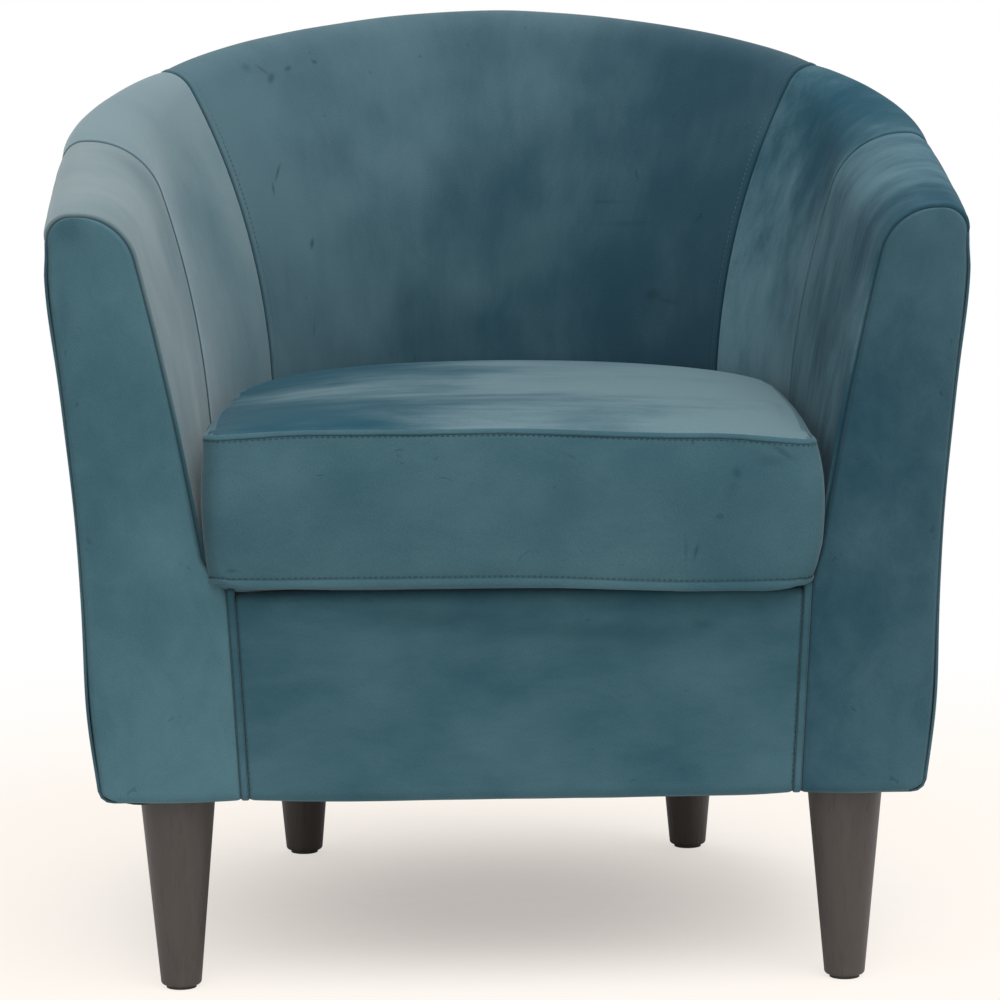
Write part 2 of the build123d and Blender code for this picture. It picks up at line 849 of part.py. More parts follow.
# Insulator, deck foam and deck cloth over the springs
deck_radius = min(cut.foot(wall_foot, 0).X for cut in round_cuts) - deck_clearance
deck_half = front_cuts["right"].foot(wall_foot, 0).X - deck_clearance
deck_front = arm_front + cover_thickness + border_return + layer_gap
deck_layers = {
    "spring_insulator": (insulator_top, insulator_thickness),
    "deck_foam": (deck_foam_top, deck_foam_thickness),
    "deck_cloth": (deck_top, cloth_thickness),
}
for name, (level, thickness) in deck_layers.items():
    with BuildPart() as deck_layer:
        with BuildSketch(Plane.XY.offset(level)):
            with BuildLine():
                Polyline(
                    (-deck_radius, back_centre),
                    (-deck_half, deck_front),
                    (deck_half, deck_front),
                    (deck_radius, back_centre),
                )
                ThreePointArc(
                    (deck_radius, back_centre),
                    (0, back_centre + deck_radius),
                    (-deck_radius, back_centre),
                )
            make_face()
        extrude(amount=-thickness)
    store(deck_layer, name)

# Dust cover under the frame, with room for the legs, and the staples along its edge
dust_top = hoop_bottom - layer_gap / 2
dust_front = arm_front + dust_front_setback
leg_hole = plate_diameter / 2 + leg_hole_play
with BuildPart() as dust_cover:
    with BuildSketch(Plane.XY.offset(dust_top)):
        with BuildLine():
            Polyline(
                (-hoop_outer, back_centre),
                (-hoop_outer, dust_front),
                (hoop_outer, dust_front),
                (hoop_outer, back_centre),
            )
            ThreePointArc(
                (hoop_outer, back_centre), (0, back_centre + hoop_outer), (-hoop_outer, back_centre)
            )
        make_face()
        with Locations(*leg_places.values()):
            Circle(leg_hole, mode=Mode.SUBTRACT)
    extrude(amount=-dust_thickness)
store(dust_cover, "dust_cover")

staple_line = hoop_outer - staple_setback
side_step = arm_length / (staples_per_side + 1)
front_step = 2 * hoop_inner / (staples_on_front + 1)
back_step = 180 / (staples_on_back + 1)
staple_places = []
for side in sides.values():
    for index in range(staples_per_side):
        staple_places.append((side * staple_line, back_centre - (index + 1) * side_step, 90))
for index in range(staples_on_back):
    turn = (index + 1) * back_step
    x = staple_line * cos(radians(turn))
    y = back_centre + staple_line * sin(radians(turn))
    staple_places.append((x, y, turn + 90))
for index in range(staples_on_front):
    x = (index + 1) * front_step - hoop_inner
    staple_places.append((x, dust_front + staple_setback / 2, 0))
with BuildPart() as dust_cover_staples:
    with BuildSketch(Plane.XY.offset(dust_top - dust_thickness)):
        for x, y, turn in staple_places:
            nearest_leg = min(hypot(x - leg_x, y - leg_y) for leg_x, leg_y in leg_places.values())
            if nearest_leg > leg_hole + staple_length:
                with Locations(Location((x, y, 0), (0, 0, turn))):
                    Rectangle(staple_length, staple_width)
    extrude(amount=-staple_height)
store(dust_cover_staples, "dust_cover_staples")

# Loose seat cushion, crowned on top and bulging at its boxing
cushion_bottom = deck_top + cushion_rest
low_seam = cushion_bottom + base_height
high_seam = low_seam + boxing_height
middle_level = (low_seam + high_seam) / 2
cushion_front = arm_front - cushion_overhang + cushion_bow + boxing_bulge


def room_at(level, side_play, back_play):
    """Half width between the arm fronts and radius in the back curve that the cushion has at a level."""
    half_width = front_cuts["right"].foot(level, 0).X - side_play
    radius = min(cut.foot(level, 0).X for cut in round_cuts) - back_play
    return half_width, radius


low_half_width, low_radius = room_at(low_seam, low_side_play, low_back_play)
middle_half_width, middle_radius = room_at(middle_level, middle_side_play, middle_back_play)
high_half_width, high_radius = room_at(high_seam, high_side_play, high_back_play)


def cushion_plan(level, half_width, radius, front, inset):
    """Plan of the cushion at one level, drawn in by an inset."""
    with BuildSketch(Plane.XY.offset(level)) as plan:
        with BuildLine():
            tub_outline(half_width - inset, radius - inset, front + inset, cushion_corner, cushion_bow)
        make_face()
    return plan.sketch


def cushion_base(inset, mode=Mode.ADD):
    """Underside, drawn in from the low seam to the flat that rests on the deck."""
    plans = []
    for drop, step in base_curve:
        level = low_seam - drop * (base_height - inset)
        plans.append(cushion_plan(level, low_half_width, low_radius, cushion_front, inset + step))
    loft(plans, mode=mode)


def cushion_middle(inset, mode=Mode.ADD):
    """Boxing between the seams, fullest at half height."""
    low = cushion_plan(low_seam, low_half_width, low_radius, cushion_front, inset)
    full_front = cushion_front - boxing_bulge
    middle = cushion_plan(middle_level, middle_half_width, middle_radius, full_front, inset)
    high = cushion_plan(high_seam, high_half_width, high_radius, cushion_front, inset)
    loft([low, middle, high], mode=mode)


def cushion_crown(inset, mode=Mode.ADD):
    """Crown over the high seam."""
    plans = []
    for rise, step in crown_curve:
        level = high_seam + rise * (crown_height - inset)
        plans.append(cushion_plan(level, high_half_width, high_radius, cushion_front, inset + step))
    loft(plans, mode=mode)


core_inset = cushion_cover + cushion_cover_gap
with BuildPart() as cushion_core:
    cushion_base(core_inset)
    cushion_middle(core_inset)
    cushion_crown(core_inset)
store(cushion_core, "cushion_core")

with BuildPart() as cushion_top_panel:
    cushion_crown(0)
    cushion_crown(cushion_cover, Mode.SUBTRACT)
store(cushion_top_panel, "cushion_top_panel")

with BuildPart() as cushion_bottom_panel:
    cushion_base(0)
    cushion_base(cushion_cover, Mode.SUBTRACT)
store(cushion_bottom_panel, "cushion_bottom_panel")

zip_axis = Axis((0, back_centre, 0), (0, 0, 1))
zip_plane = radial_plane(zip_start)
with BuildPart() as cushion_boxing:
    cushion_middle(0)
    cushion_middle(cushion_cover, Mode.SUBTRACT)
    with BuildSketch(zip_plane):
        with Locations((middle_radius, middle_level)):
            Rectangle(zip_slot_depth, zip_slot)
    revolve(axis=zip_axis, revolution_arc=zip_sweep, mode=Mode.SUBTRACT)
store(cushion_boxing, "cushion_boxing")

# Zip in the back of the boxing, and the slider that runs along it
tape_inner = middle_radius - zip_tape - zip_chain_depth
with BuildPart() as cushion_zip:
    with BuildSketch(zip_plane):
        with Locations((tape_inner, middle_level)):
            Rectangle(zip_tape, zip_slot - zip_play, align=(Align.MIN, Align.CENTER))
            Rectangle(zip_tape + zip_chain_depth, zip_chain_height, align=(Align.MIN, Align.CENTER))
    revolve(axis=zip_axis, revolution_arc=zip_sweep)
store(cushion_zip, "cushion_zip")

lip_place = zip_chain_height / 2 + zip_play + slider_lip / 2
slider_inner = middle_radius + zip_play
with BuildPart() as zip_slider:
    with BuildSketch(radial_plane(zip_start + slider_stop)):
        with Locations((slider_inner, middle_level)):
            Rectangle(slider_thickness, slider_height, align=(Align.MIN, Align.CENTER))
        with Locations((slider_inner, middle_level - lip_place), (slider_inner, middle_level + lip_place)):
            Rectangle(zip_chain_depth, slider_lip, align=(Align.MAX, Align.CENTER))
    revolve(axis=zip_axis, revolution_arc=slider_sweep)
store(zip_slider, "zip_slider")

print("overall depth", round(2 * back_reach + 2 * back_centre, 2))
print("back curve centre", round(back_centre, 3), "arm front", round(arm_front, 3))
print("zip travel", round(zip_sweep - slider_sweep - 2 * slider_stop, 2))
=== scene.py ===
"""Looks of a velvet club chair: padded covers with seams and stitches, a loose box cushion and dark legs."""

import json
from math import atan2, cos, exp, hypot, inf, pi, radians, sin, tan

import bmesh
import bpy
from mathutils import Matrix, Vector, noise
from mathutils.bvhtree import BVHTree


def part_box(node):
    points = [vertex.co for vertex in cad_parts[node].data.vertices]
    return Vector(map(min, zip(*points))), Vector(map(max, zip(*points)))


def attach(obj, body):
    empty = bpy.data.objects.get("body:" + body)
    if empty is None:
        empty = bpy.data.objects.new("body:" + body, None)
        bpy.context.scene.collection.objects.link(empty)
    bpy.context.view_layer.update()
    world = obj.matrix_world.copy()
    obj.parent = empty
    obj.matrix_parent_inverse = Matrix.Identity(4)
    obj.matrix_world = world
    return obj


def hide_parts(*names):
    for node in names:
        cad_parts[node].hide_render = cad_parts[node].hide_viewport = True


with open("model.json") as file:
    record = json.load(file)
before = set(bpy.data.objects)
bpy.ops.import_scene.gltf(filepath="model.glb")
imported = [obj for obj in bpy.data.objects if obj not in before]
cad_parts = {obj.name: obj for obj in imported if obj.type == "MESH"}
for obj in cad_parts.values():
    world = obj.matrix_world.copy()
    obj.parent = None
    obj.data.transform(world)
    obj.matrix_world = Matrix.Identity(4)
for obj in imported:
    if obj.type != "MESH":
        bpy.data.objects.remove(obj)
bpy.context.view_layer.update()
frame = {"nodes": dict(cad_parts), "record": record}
scene = bpy.context.scene

# Places read from the frame. Lengths are metres.
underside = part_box("outside_back_cover")[0].z
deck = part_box("deck_cloth")[1].z
arm_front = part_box("arm_front_panel_left")[0].y
deck_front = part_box("deck_cloth")[0].y
dust_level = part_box("dust_cover")[0].z
dust_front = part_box("dust_cover")[0].y
dust_half_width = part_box("dust_cover")[1].x
zip_low, zip_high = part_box("cushion_zip")
zip_level = (zip_low.z + zip_high.z) / 2

# Outside of the tub
arm_length = 0.300
back_centre = arm_front + arm_length
shell_half_width = 0.324
flare = radians(4.44)
hem_radius = 0.010
hem_tuck = 0.022
bend_level = underside + 0.282
shoulder_angle = 36.6
side_top = 0.499
front_top = 0.462
back_top = 0.588
back_rise = 0.100
mean_radius = 0.286
arm_turn = arm_length / mean_radius * 180 / pi

# Bulges outside an arm: size, then middle and width as shares of the arm's height
arm_bulges = ((0.0042, 0.15, 0.13), (0.0032, 0.86, 0.11), (-0.0018, 0.5, 0.14))

# Cross sections of the wall: inner face at the bend, lean, roll, outer corner and flat on top
front_cut = (0.256, 14.0, 0.046, 0.020, 0.006)
side_cut = (0.245, 18.0, 0.063, 0.018, 0.003)
shoulder_cut = (0.240, 34.0, 0.034, 0.012, 0.001)
back_cut = (0.240, 31.0, 0.034, 0.012, 0.001)

# Sewing
seams = {
    "faint": (0.0004, 0.0010),
    "plain": (0.0019, 0.0013),
    "stitched": (0.0020, 0.0012),
    "lapped": (0.0019, 0.0009),
}
lap_height = 0.0013
lap_reach = 0.010
seam_shade = 0.0009
arm_setback = 0.0032
band_height = 0.0008
band_start = 0.0012
band_end = 0.0010
band_fade = (0.002, 0.014)
stitch_line = 0.0062
stitch_dip = 0.0006
stitch_dip_width = 0.0009
stitch_length = 0.0028
stitch_pitch = 0.0044
stitch_radius = 0.00042
stitch_rise = 0.6
row_end_gap = 0.004
stitch_gap = 0.0012
cover_swell = 0.0022
swell_reach = 0.022
settle_reach = 0.03
broad_ripple = 0.0011
fine_ripple = 0.0003
broad_rate = 7
fine_across_rate, fine_along_rate = 26, 17
fine_seed_step = 31
crowding = 0.92
tuck_below_deck = 0.016
weld_distance = 0.00001
pad_thickness = 0.010
cloth_thickness = 0.002
front_thickness = 0.006
border_thickness = 0.004
deck_thickness = 0.010
dust_thickness = 0.0006

# Front border and its welts
welt_top_x = 0.2256
welt_bottom_x = 0.2170
welt_half_width = 0.0032
welt_shift = 0.0064
welt_proud = 0.0005
welt_drop = 0.0009
welt_fade_below, welt_fade_above = 0.01, 0.02
welt_stitch_sink = 0.0002
front_fold = 0.005
front_edge_drop = 0.0032
front_edge_width = 0.0020
front_swell = 0.0022
front_swell_reach = 0.03
border_return = 0.022
border_seed = 21.7
hem_share = 0.06
front_bulge_share = 0.7

# Seat cushion
low_seam = 0.3346
high_seam = 0.4486
cushion_top = 0.456
cushion_bottom = 0.3228
cushion_corner = 0.018
cushion_bow = 0.004
cushion_overhang = 0.012
cushion_front = arm_front - cushion_overhang
boxing_bulge = 0.004
low_width, middle_width, high_width = 0.2335, 0.2400, 0.2375
low_spread, middle_spread, high_spread = 0.0050, 0.0065, 0.0020
droop_left, droop_right = 0.0035, 0.0065
left_narrowing = 0.0045
front_lift_left = 0.0016
front_drop_right = 0.0045
pinch_left, pinch_right = 0.62, 0.40
# Darkening of the cushion's left front corner: partly its nap turned away, partly painted shade
left_shade = 0.4
side_sag = 0.006
seat_rake = 0.0065
low_radius, middle_radius, high_radius = 0.2283, 0.2320, 0.2318

# Where a change of the cushion begins and where it is full: depths behind the fronts of the arms,
# widths aside from the middle
spread_depths, spread_widths = (0.022, -0.004), (0.15, 0.22)
droop_depths, droop_widths = (0.09, -0.01), (0.15, 0.24)
shade_depths, shade_widths = (0.02, 0.0), (-0.218, -0.240)
hang_depths = (0.006, -0.006)
rest_depths = (0.16, 0.0)
lip_depths = (0.06, 0.0)
pinch_widths = (0.190, 0.236)
uneven_widths = (-0.02, 0.16)
sag_widths = (-0.10, -0.23)
sag_length = 0.13
upper_half = (0.5, 1.0)
pinch_draw = 0.4

# Rings of the rough cushion: rise above its underside or share of its crown, and inset
underside_rings = ((0.0, 0.016), (0.0015, 0.006), (0.005, 0.0012))
crown_rings = ((0.22, 0.006), (0.5, 0.024), (0.72, 0.05), (0.88, 0.09), (1.0, 0.15))
boxing_steps = 8
cushion_ring_points = 240

# Swelling and sewing of the cushion
voxel = 0.0055
cloth_frames = 20
cloth_pressure = 4.0
most_movement = 0.008
pin_reach = 0.0045
seam_margin = 0.02
seam_ridge = 0.0018
seam_draw = 0.0012
seam_draw_width = 0.003
lip_inset = 0.0012
lip_slimness = 0.35
lip_rise = 0.3
lip_wave = 0.12
lip_wave_rate = 30
lip_shade = 0.6
lip_edge = (0.5, 1.0)
top_row_drop, bottom_row_rise = 0.0030, 0.0006
top_panel_start = 0.001

# Deck, dust cover and zip
deck_sag = 0.004
deck_sag_reach = (0.2, 1.0)
deck_drop = 0.0012
deck_seed = 40.3
dust_slack = 0.0012
dust_slack_rate = 9
dust_seed = 5.5
dust_edge = (0.75, 1.0)
dust_edge_rise = 0.0004
dust_hang = 0.0006
dust_loose = 0.006
loose_width, loose_depth = 0.02, 0.03
leg_hole = 0.023
zip_radius = zip_high.y - back_centre
zip_sink = 0.0028
zip_margin = 0.002
zip_slope = 0.004
hollow_sine = 0.46
hollow_depth = 0.012
zip_ends = (radians(29), radians(151))
teeth = 190
tooth_size = (0.0006, 0.0016, 0.0022)
tooth_offset = 0.0008
tooth_round = 0.0002
tab_radius = 0.0032
tab_length = 0.012
tab_rim = 0.0008
tab_gap = 0.0012

# Velvet and wood
noise_middle = 0.5
nap_limits = (0.24, 0.76)
bruise_limits = (0.69, 0.75)
pore_limits = (0.56, 0.68)
wood_gloss_range = 0.06
bruise_strength = 0.4
# Tint of marks pressed into the pile and of the streaks of painted shade on the border
mark_and_shade_tint = (0.40, 0.48, 0.52)
pile_strength = 0.16
nap_height = 0.8
# Painted shade along the seams, under the front of the cushion's lips and at its left front corner: strength
# and colour
seam_strength = 0.85
seam_colour = (0.006, 0.024, 0.034)


def polar(angle):
    return Vector((cos(angle), sin(angle)))


def smooth(low, high, value):
    """Smooth step from 0 at low to 1 at high."""
    share = min(max((value - low) / (high - low), 0.0), 1.0)
    return share * share * (3 - 2 * share)


def blend(first, second, share):
    return first + (second - first) * share


def bell(away, width):
    """Share that falls from 1 at no distance to almost nothing at two widths."""
    return exp(-((away / width) ** 2))


def settled(away):
    """Share of its full unevenness that cloth has at a distance from a seam."""
    return smooth(0.0, settle_reach, away)


def crowded(share):
    """Share that moves points towards both ends, where the seams are."""
    return share - crowding * sin(2 * pi * share) / (2 * pi)


def outer_at(height, depth=0.0):
    """Distance out to the leaning outside face at a height, at a depth below it."""
    return shell_half_width + (height - underside) * tan(flare) - depth / cos(flare)


def line(start, end, facing):
    """Straight stretch of a section: its length, and the point and facing at a share of it."""
    return (end - start).length, lambda share: (start.lerp(end, share), facing)


def arc(centre, radius, first, last):
    """Round stretch of a section: its length, and the point and facing at a share of it."""

    def place(share):
        angle = blend(first, last, share)
        return centre + polar(angle) * radius, angle

    return radius * abs(last - first), place


class WallCut:
    """Upright cut through the tub wall, as distance out and height, from the deck over the top to the hem."""

    def __init__(self, top, inner, lean, roll, corner, flat):
        crest = underside + top
        lean = radians(lean)
        corner_centre = Vector((outer_at(crest - corner, corner), crest - corner))
        roll_centre = Vector((corner_centre.x - flat, crest - roll))
        bend = Vector((inner, bend_level))
        chord = roll_centre + polar(pi - lean) * roll - bend
        foot_lean = 2 * atan2(chord.x, chord.y) - lean
        lean_radius = chord.length / 2 / sin((lean - foot_lean) / 2)
        lean_centre = bend - polar(pi - foot_lean) * lean_radius
        foot = bend - Vector((tan(foot_lean), 1)) * (bend_level - deck)
        hem_centre = Vector((outer_at(underside + hem_radius, hem_radius), underside + hem_radius))
        hem_end = hem_centre - Vector((0, hem_radius))
        up = Vector((0, 1))
        self.spans = [
            line(foot, bend, pi - foot_lean),
            arc(lean_centre, lean_radius, pi - foot_lean, pi - lean),
            arc(roll_centre, roll, pi - lean, pi / 2),
            line(roll_centre + up * roll, corner_centre + up * corner, pi / 2),
            arc(corner_centre, corner, pi / 2, -flare),
            line(corner_centre + polar(-flare) * corner, hem_centre + polar(-flare) * hem_radius, -flare),
            arc(hem_centre, hem_radius, -flare, -pi / 2),
            line(hem_end, hem_end - Vector((hem_tuck, 0)), -pi / 2),
        ]
        lengths = [length for length, _ in self.spans]
        self.crest = sum(lengths[:3]) + flat / 2
        self.inside = sum(lengths[:5])
        self.hem = sum(lengths[:7])
        self.whole = sum(lengths)

    def at(self, along):
        """Point and facing at a distance along the surface from the deck."""
        for length, place in self.spans[:-1]:
            if along <= length:
                return place(along / length)
            along -= length
        length, place = self.spans[-1]
        return place(along / length)


def between(first, second, share):
    return [blend(a, b, share) for a, b in zip(first, second)]


def cut_at(turn):
    """Cut at a turn around the tub, with its origin and outward direction. From 0 to 180 it is the back."""
    side = 1 if turn < 90 else -1
    turned = turn if side > 0 else 180 - turn
    if turned < 0:
        reach = radians(turned) * mean_radius
        share = 1 + reach / arm_length
        cut = WallCut(blend(front_top, side_top, share), *between(front_cut, side_cut, share))
        return cut, Vector((0, back_centre + reach, 0)), Vector((side, 0, 0))
    share = turned / 90
    rise = (share**3 - 2 * share**2 + share) * back_rise
    top = side_top + rise + (3 * share**2 - 2 * share**3) * (back_top - side_top)
    if turned < shoulder_angle:
        sizes = between(side_cut, shoulder_cut, turned / shoulder_angle)
    else:
        sizes = between(shoulder_cut, back_cut, (turned - shoulder_angle) / (90 - shoulder_angle))
    out = polar(radians(turn)).to_3d()
    return WallCut(top, *sizes), Vector((0, back_centre, 0)), out


def wall_spot(place, along, lift=0.0):
    """Point on the wall, and the way that it faces, at a distance along a cut and lifted off the surface."""
    cut, origin, out = place
    point, facing = cut.at(along)
    normal = out * cos(facing) + Vector((0, 0, sin(facing)))
    return origin + out * point.x + Vector((0, 0, point.y)) + normal * lift, normal


def seam_relief(kind, away, band=1.0):
    """Height of the cloth at a distance from a seam: a groove, and beside stitched seams a doubled band."""
    depth, width = seams[kind]
    height = -depth * bell(away, width)
    if kind == "stitched":
        doubled = smooth(0.0, band_start, away) * (1 - smooth(stitch_line - band_end, stitch_line, away))
        height += band * (band_height * doubled - stitch_dip * bell(away - stitch_line, stitch_dip_width))
    if kind == "lapped":
        height += lap_height * exp(-away / lap_reach)
    return height


def side_bulge(height):
    """How far the outside of an arm stands out at a height: fuller near the hem and the top than between."""
    share = (height - underside) / front_top
    return sum(size * bell(share - middle, width) for size, middle, width in arm_bulges)


def seam_dark(away):
    """How much a point lies in the shade of a seam, from its distance to it."""
    return bell(away, seam_shade)


def ripple(across, along, seed):
    """Uneven lie of cloth over padding, in metres."""
    broad = noise.noise(Vector((across * broad_rate, along * broad_rate, seed)))
    fine = noise.noise(Vector((across * fine_across_rate, along * fine_along_rate, seed + fine_seed_step)))
    return broad_ripple * broad + fine_ripple * fine


def new_piece(name, mesh, material, body, replaced=(), thickness=0.0):
    """Turn a finished bmesh into a piece that rides on a body."""
    data = bpy.data.meshes.new(name)
    mesh.to_mesh(data)
    mesh.free()
    data.shade_smooth()
    data.materials.append(material)
    piece = bpy.data.objects.new(name, data)
    scene.collection.objects.link(piece)
    if thickness:
        wall = piece.modifiers.new("thickness", "SOLIDIFY")
        wall.thickness = thickness
        wall.offset = -1.0
    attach(piece, body)
    if replaced:
        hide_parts(*replaced)
    return piece


def cloth_grid(columns, rows):
    """Flat grid over the unit square, with a map for the cloth's own coordinates and a mark for the painted
    shade at its seams.
    """
    mesh = bmesh.new()
    mesh.loops.layers.uv.new("cloth")
    mesh.verts.layers.float.new("seam")
    bmesh.ops.create_grid(mesh, x_segments=columns, y_segments=rows, size=0.5)
    half = Vector((0.5, 0.5, 0))
    bmesh.ops.translate(mesh, verts=mesh.verts, vec=half)
    return mesh


def lay_cloth(mesh, place, weld=False):
    """Move each vertex of a grid to its place, with its cloth coordinates and seam shade, and weld folds."""
    layer = mesh.loops.layers.uv["cloth"]
    seam = mesh.verts.layers.float["seam"]
    for vertex in mesh.verts:
        vertex.co, cloth, vertex[seam] = place(vertex.co.x, vertex.co.y)
        for loop in vertex.link_loops:
            loop[layer].uv = cloth
    if weld:
        bmesh.ops.remove_doubles(mesh, verts=mesh.verts, dist=weld_distance)


# Materials


def add(tree, kind, inputs=None, **settings):
    """Place a shader node with its settings, and its inputs as links or values, with colours as three."""
    made = tree.nodes.new("ShaderNode" + kind)
    for name, value in settings.items():
        setattr(made, name, value)
    for name, value in (inputs or {}).items():
        socket = made.inputs[name]
        if isinstance(value, bpy.types.NodeSocket):
            tree.links.new(value, socket)
        elif socket.type == "RGBA":
            socket.default_value = (*value, 1.0)
        else:
            socket.default_value = value
    return made


def mix_colours(tree, factor, first, second, how="MIX"):
    made = add(tree, "Mix", {0: factor, 6: first, 7: second}, data_type="RGBA", blend_type=how)
    return made.outputs[2]


def spread_out(tree, value, low, high, to_low=0.0, to_high=1.0):
    """Stretch a value between two limits, smoothly."""
    numbers = {0: value, 1: low, 2: high, 3: to_low, 4: to_high}
    return add(tree, "MapRange", numbers, interpolation_type="SMOOTHSTEP").outputs[0]


def maths(tree, how, first, second):
    """Result of an operation on two values."""
    return add(tree, "Math", {0: first, 1: second}, operation=how).outputs[0]


def vectors(tree, how, first, second=(0, 0, 0)):
    """Result of an operation on two vectors: a value for a product or a length, and otherwise a vector."""
    made = add(tree, "VectorMath", {0: first, 1: second}, operation=how)
    return made.outputs["Value" if how in ("DOT_PRODUCT", "LENGTH") else "Vector"]


def noise_of(tree, vector, scale, detail=3.0, roughness=0.55, distortion=0.0):
    numbers = {"Vector": vector, "Scale": scale, "Detail": detail}
    numbers.update({"Roughness": roughness, "Distortion": distortion})
    return add(tree, "TexNoise", numbers).outputs["Fac"]


def effect(name, inputs, outputs):
    """Start a shared node group with named sockets."""
    tree = bpy.data.node_groups.new(name, "ShaderNodeTree")
    for label, kind in inputs.items():
        tree.interface.new_socket(name=label, in_out="INPUT", socket_type="NodeSocket" + kind)
    for label in outputs:
        tree.interface.new_socket(name=label, in_out="OUTPUT", socket_type="NodeSocketFloat")
    given = tree.nodes.new("NodeGroupInput").outputs
    result = tree.nodes.new("NodeGroupOutput").inputs
    return tree, given, result


def velvet_nap():
    """Brushed pile: broad patches, wisps along the stroke, thin bruises and the grain of the pile itself."""
    inputs = {"Vector": "Vector", "Shift": "Vector", "Patches": "Float", "Contrast": "Float"}
    inputs.update({"Stroke": "Vector", "Wisps": "Float", "Drift": "Vector", "Start": "Float"})
    tree, given, result = effect("velvet nap", inputs, ("Nap_and_light", "Bruise", "Pile"))
    place = vectors(tree, "ADD", given["Vector"], given["Shift"])
    stroke = vectors(tree, "MULTIPLY", place, given["Stroke"])
    patches = noise_of(tree, place, given["Patches"], detail=2.0, roughness=0.5, distortion=0.15)
    wisps = noise_of(tree, stroke, 1.0, detail=6.0, roughness=0.72, distortion=0.3)
    # Drift: a steady slope of the nap across the cloth, which some velvets use for painted light and shade
    nap_and_light = maths(tree, "ADD", vectors(tree, "DOT_PRODUCT", given["Vector"], given["Drift"]), given["Start"])
    for part, share in ((patches, given["Contrast"]), (wisps, given["Wisps"])):
        uneven = maths(tree, "SUBTRACT", part, noise_middle)
        nap_and_light = maths(tree, "ADD", nap_and_light, maths(tree, "MULTIPLY", uneven, share))
    tree.links.new(spread_out(tree, nap_and_light, *nap_limits), result["Nap_and_light"])
    bruises = noise_of(tree, stroke, 1.7, detail=3.0, roughness=0.5, distortion=2.4)
    tree.links.new(spread_out(tree, bruises, *bruise_limits), result["Bruise"])
    tree.links.new(noise_of(tree, place, 900.0, detail=2.0, roughness=0.6), result["Pile"])
    return tree


def ellipse_mark():
    """One mark, pressed into the pile or a streak of painted shade: an ellipse at a place, with half sizes, a
    turn and a strength.
    """
    inputs = {"Vector": "Vector", "Place": "Vector", "Size": "Vector", "Turn": "Float", "Strength": "Float"}
    tree, given, result = effect("ellipse mark", inputs, ("Mark",))
    offset = vectors(tree, "SUBTRACT", given["Vector"], given["Place"])
    numbers = {"Vector": offset, "Angle": given["Turn"]}
    turned = add(tree, "VectorRotate", numbers, rotation_type="Z_AXIS").outputs[0]
    away = vectors(tree, "LENGTH", vectors(tree, "DIVIDE", turned, given["Size"]))
    tree.links.new(spread_out(tree, away, 0.0, 1.0, to_low=given["Strength"], to_high=0.0), result["Mark"])
    return tree


def wood_grain():
    """Grain lines along Z with pores."""
    tree, given, result = effect("wood grain", {"Vector": "Vector", "Scale": "Float"}, ("Grain", "Pore"))
    stretched = vectors(tree, "MULTIPLY", given["Vector"], (1.0, 1.0, 0.08))
    grain = noise_of(tree, stretched, given["Scale"], detail=5.0, roughness=0.6, distortion=1.2)
    tree.links.new(grain, result["Grain"])
    pores = noise_of(tree, stretched, maths(tree, "MULTIPLY", given["Scale"], 7.0), detail=2.0)
    tree.links.new(spread_out(tree, pores, *pore_limits), result["Pore"])
    return tree


def woven_threads():
    """Plain weave: two sets of threads that cross."""
    tree, given, result = effect("woven threads", {"Vector": "Vector", "Scale": "Float"}, ("Weave", "Slub"))
    waves = []
    for direction in ("X", "Y"):
        numbers = {"Vector": given["Vector"], "Scale": given["Scale"], "Distortion": 0.4}
        waves.append(add(tree, "TexWave", numbers, bands_direction=direction).outputs["Fac"])
    tree.links.new(maths(tree, "MULTIPLY", *waves), result["Weave"])
    tree.links.new(noise_of(tree, given["Vector"], 60.0), result["Slub"])
    return tree


def fine_grain():
    """Even speckle with a slow drift, for foam, board, felt, plastic and metal."""
    tree, given, result = effect("fine grain", {"Vector": "Vector", "Scale": "Float"}, ("Grain", "Drift"))
    grain = noise_of(tree, given["Vector"], given["Scale"], detail=3.0, roughness=0.65)
    tree.links.new(grain, result["Grain"])
    tree.links.new(noise_of(tree, given["Vector"], 9.0, detail=2.0), result["Drift"])
    return tree


nap_effect = velvet_nap()
mark_effect = ellipse_mark()
grain_effect = wood_grain()
weave_effect = woven_threads()
speckle_effect = fine_grain()


def start_material(name, **sockets):
    """New material with a Principled shader and its constant sockets."""
    material = bpy.data.materials.new(name)
    material.use_nodes = True
    tree = material.node_tree
    shader = tree.nodes["Principled BSDF"]
    for socket, value in sockets.items():
        shader.inputs[socket.replace("_", " ")].default_value = value
    return material, tree, shader


def place_effect(tree, group, inputs):
    return add(tree, "Group", inputs, node_tree=group).outputs


def object_place(tree):
    return add(tree, "TexCoord").outputs["Object"]


def effect_on_object(tree, group, scale):
    return place_effect(tree, group, {"Vector": object_place(tree), "Scale": scale})


def surface(tree, shader, colour, roughness, height, distance):
    """Give a shader its colour, its roughness and a bump."""
    bump = add(tree, "Bump", {"Height": height, "Distance": distance, "Strength": 1.0})
    tree.links.new(colour, shader.inputs["Base Color"])
    tree.links.new(roughness, shader.inputs["Roughness"])
    tree.links.new(bump.outputs["Normal"], shader.inputs["Normal"])


def ellipse_marks(tree, place, mapped, marks):
    """Mask of marks, each given by its place, half sizes, turn in degrees and strength."""
    if not mapped:
        part = add(tree, "SeparateXYZ", {0: place}).outputs
        place = add(tree, "CombineXYZ", {0: part["X"], 1: part["Z"], 2: part["Y"]}).outputs[0]
    depth, reach = (0.0, 1.0) if mapped else (cushion_front, 0.06)
    mask = 0.0
    for across, up, half_across, half_up, turn, strength in marks:
        shape = {"Place": (across, up, depth), "Size": (half_across, half_up, reach)}
        shape.update({"Vector": place, "Turn": radians(turn), "Strength": strength})
        mask = maths(tree, "MAXIMUM", place_effect(tree, mark_effect, shape)["Mark"], mask)
    return mask


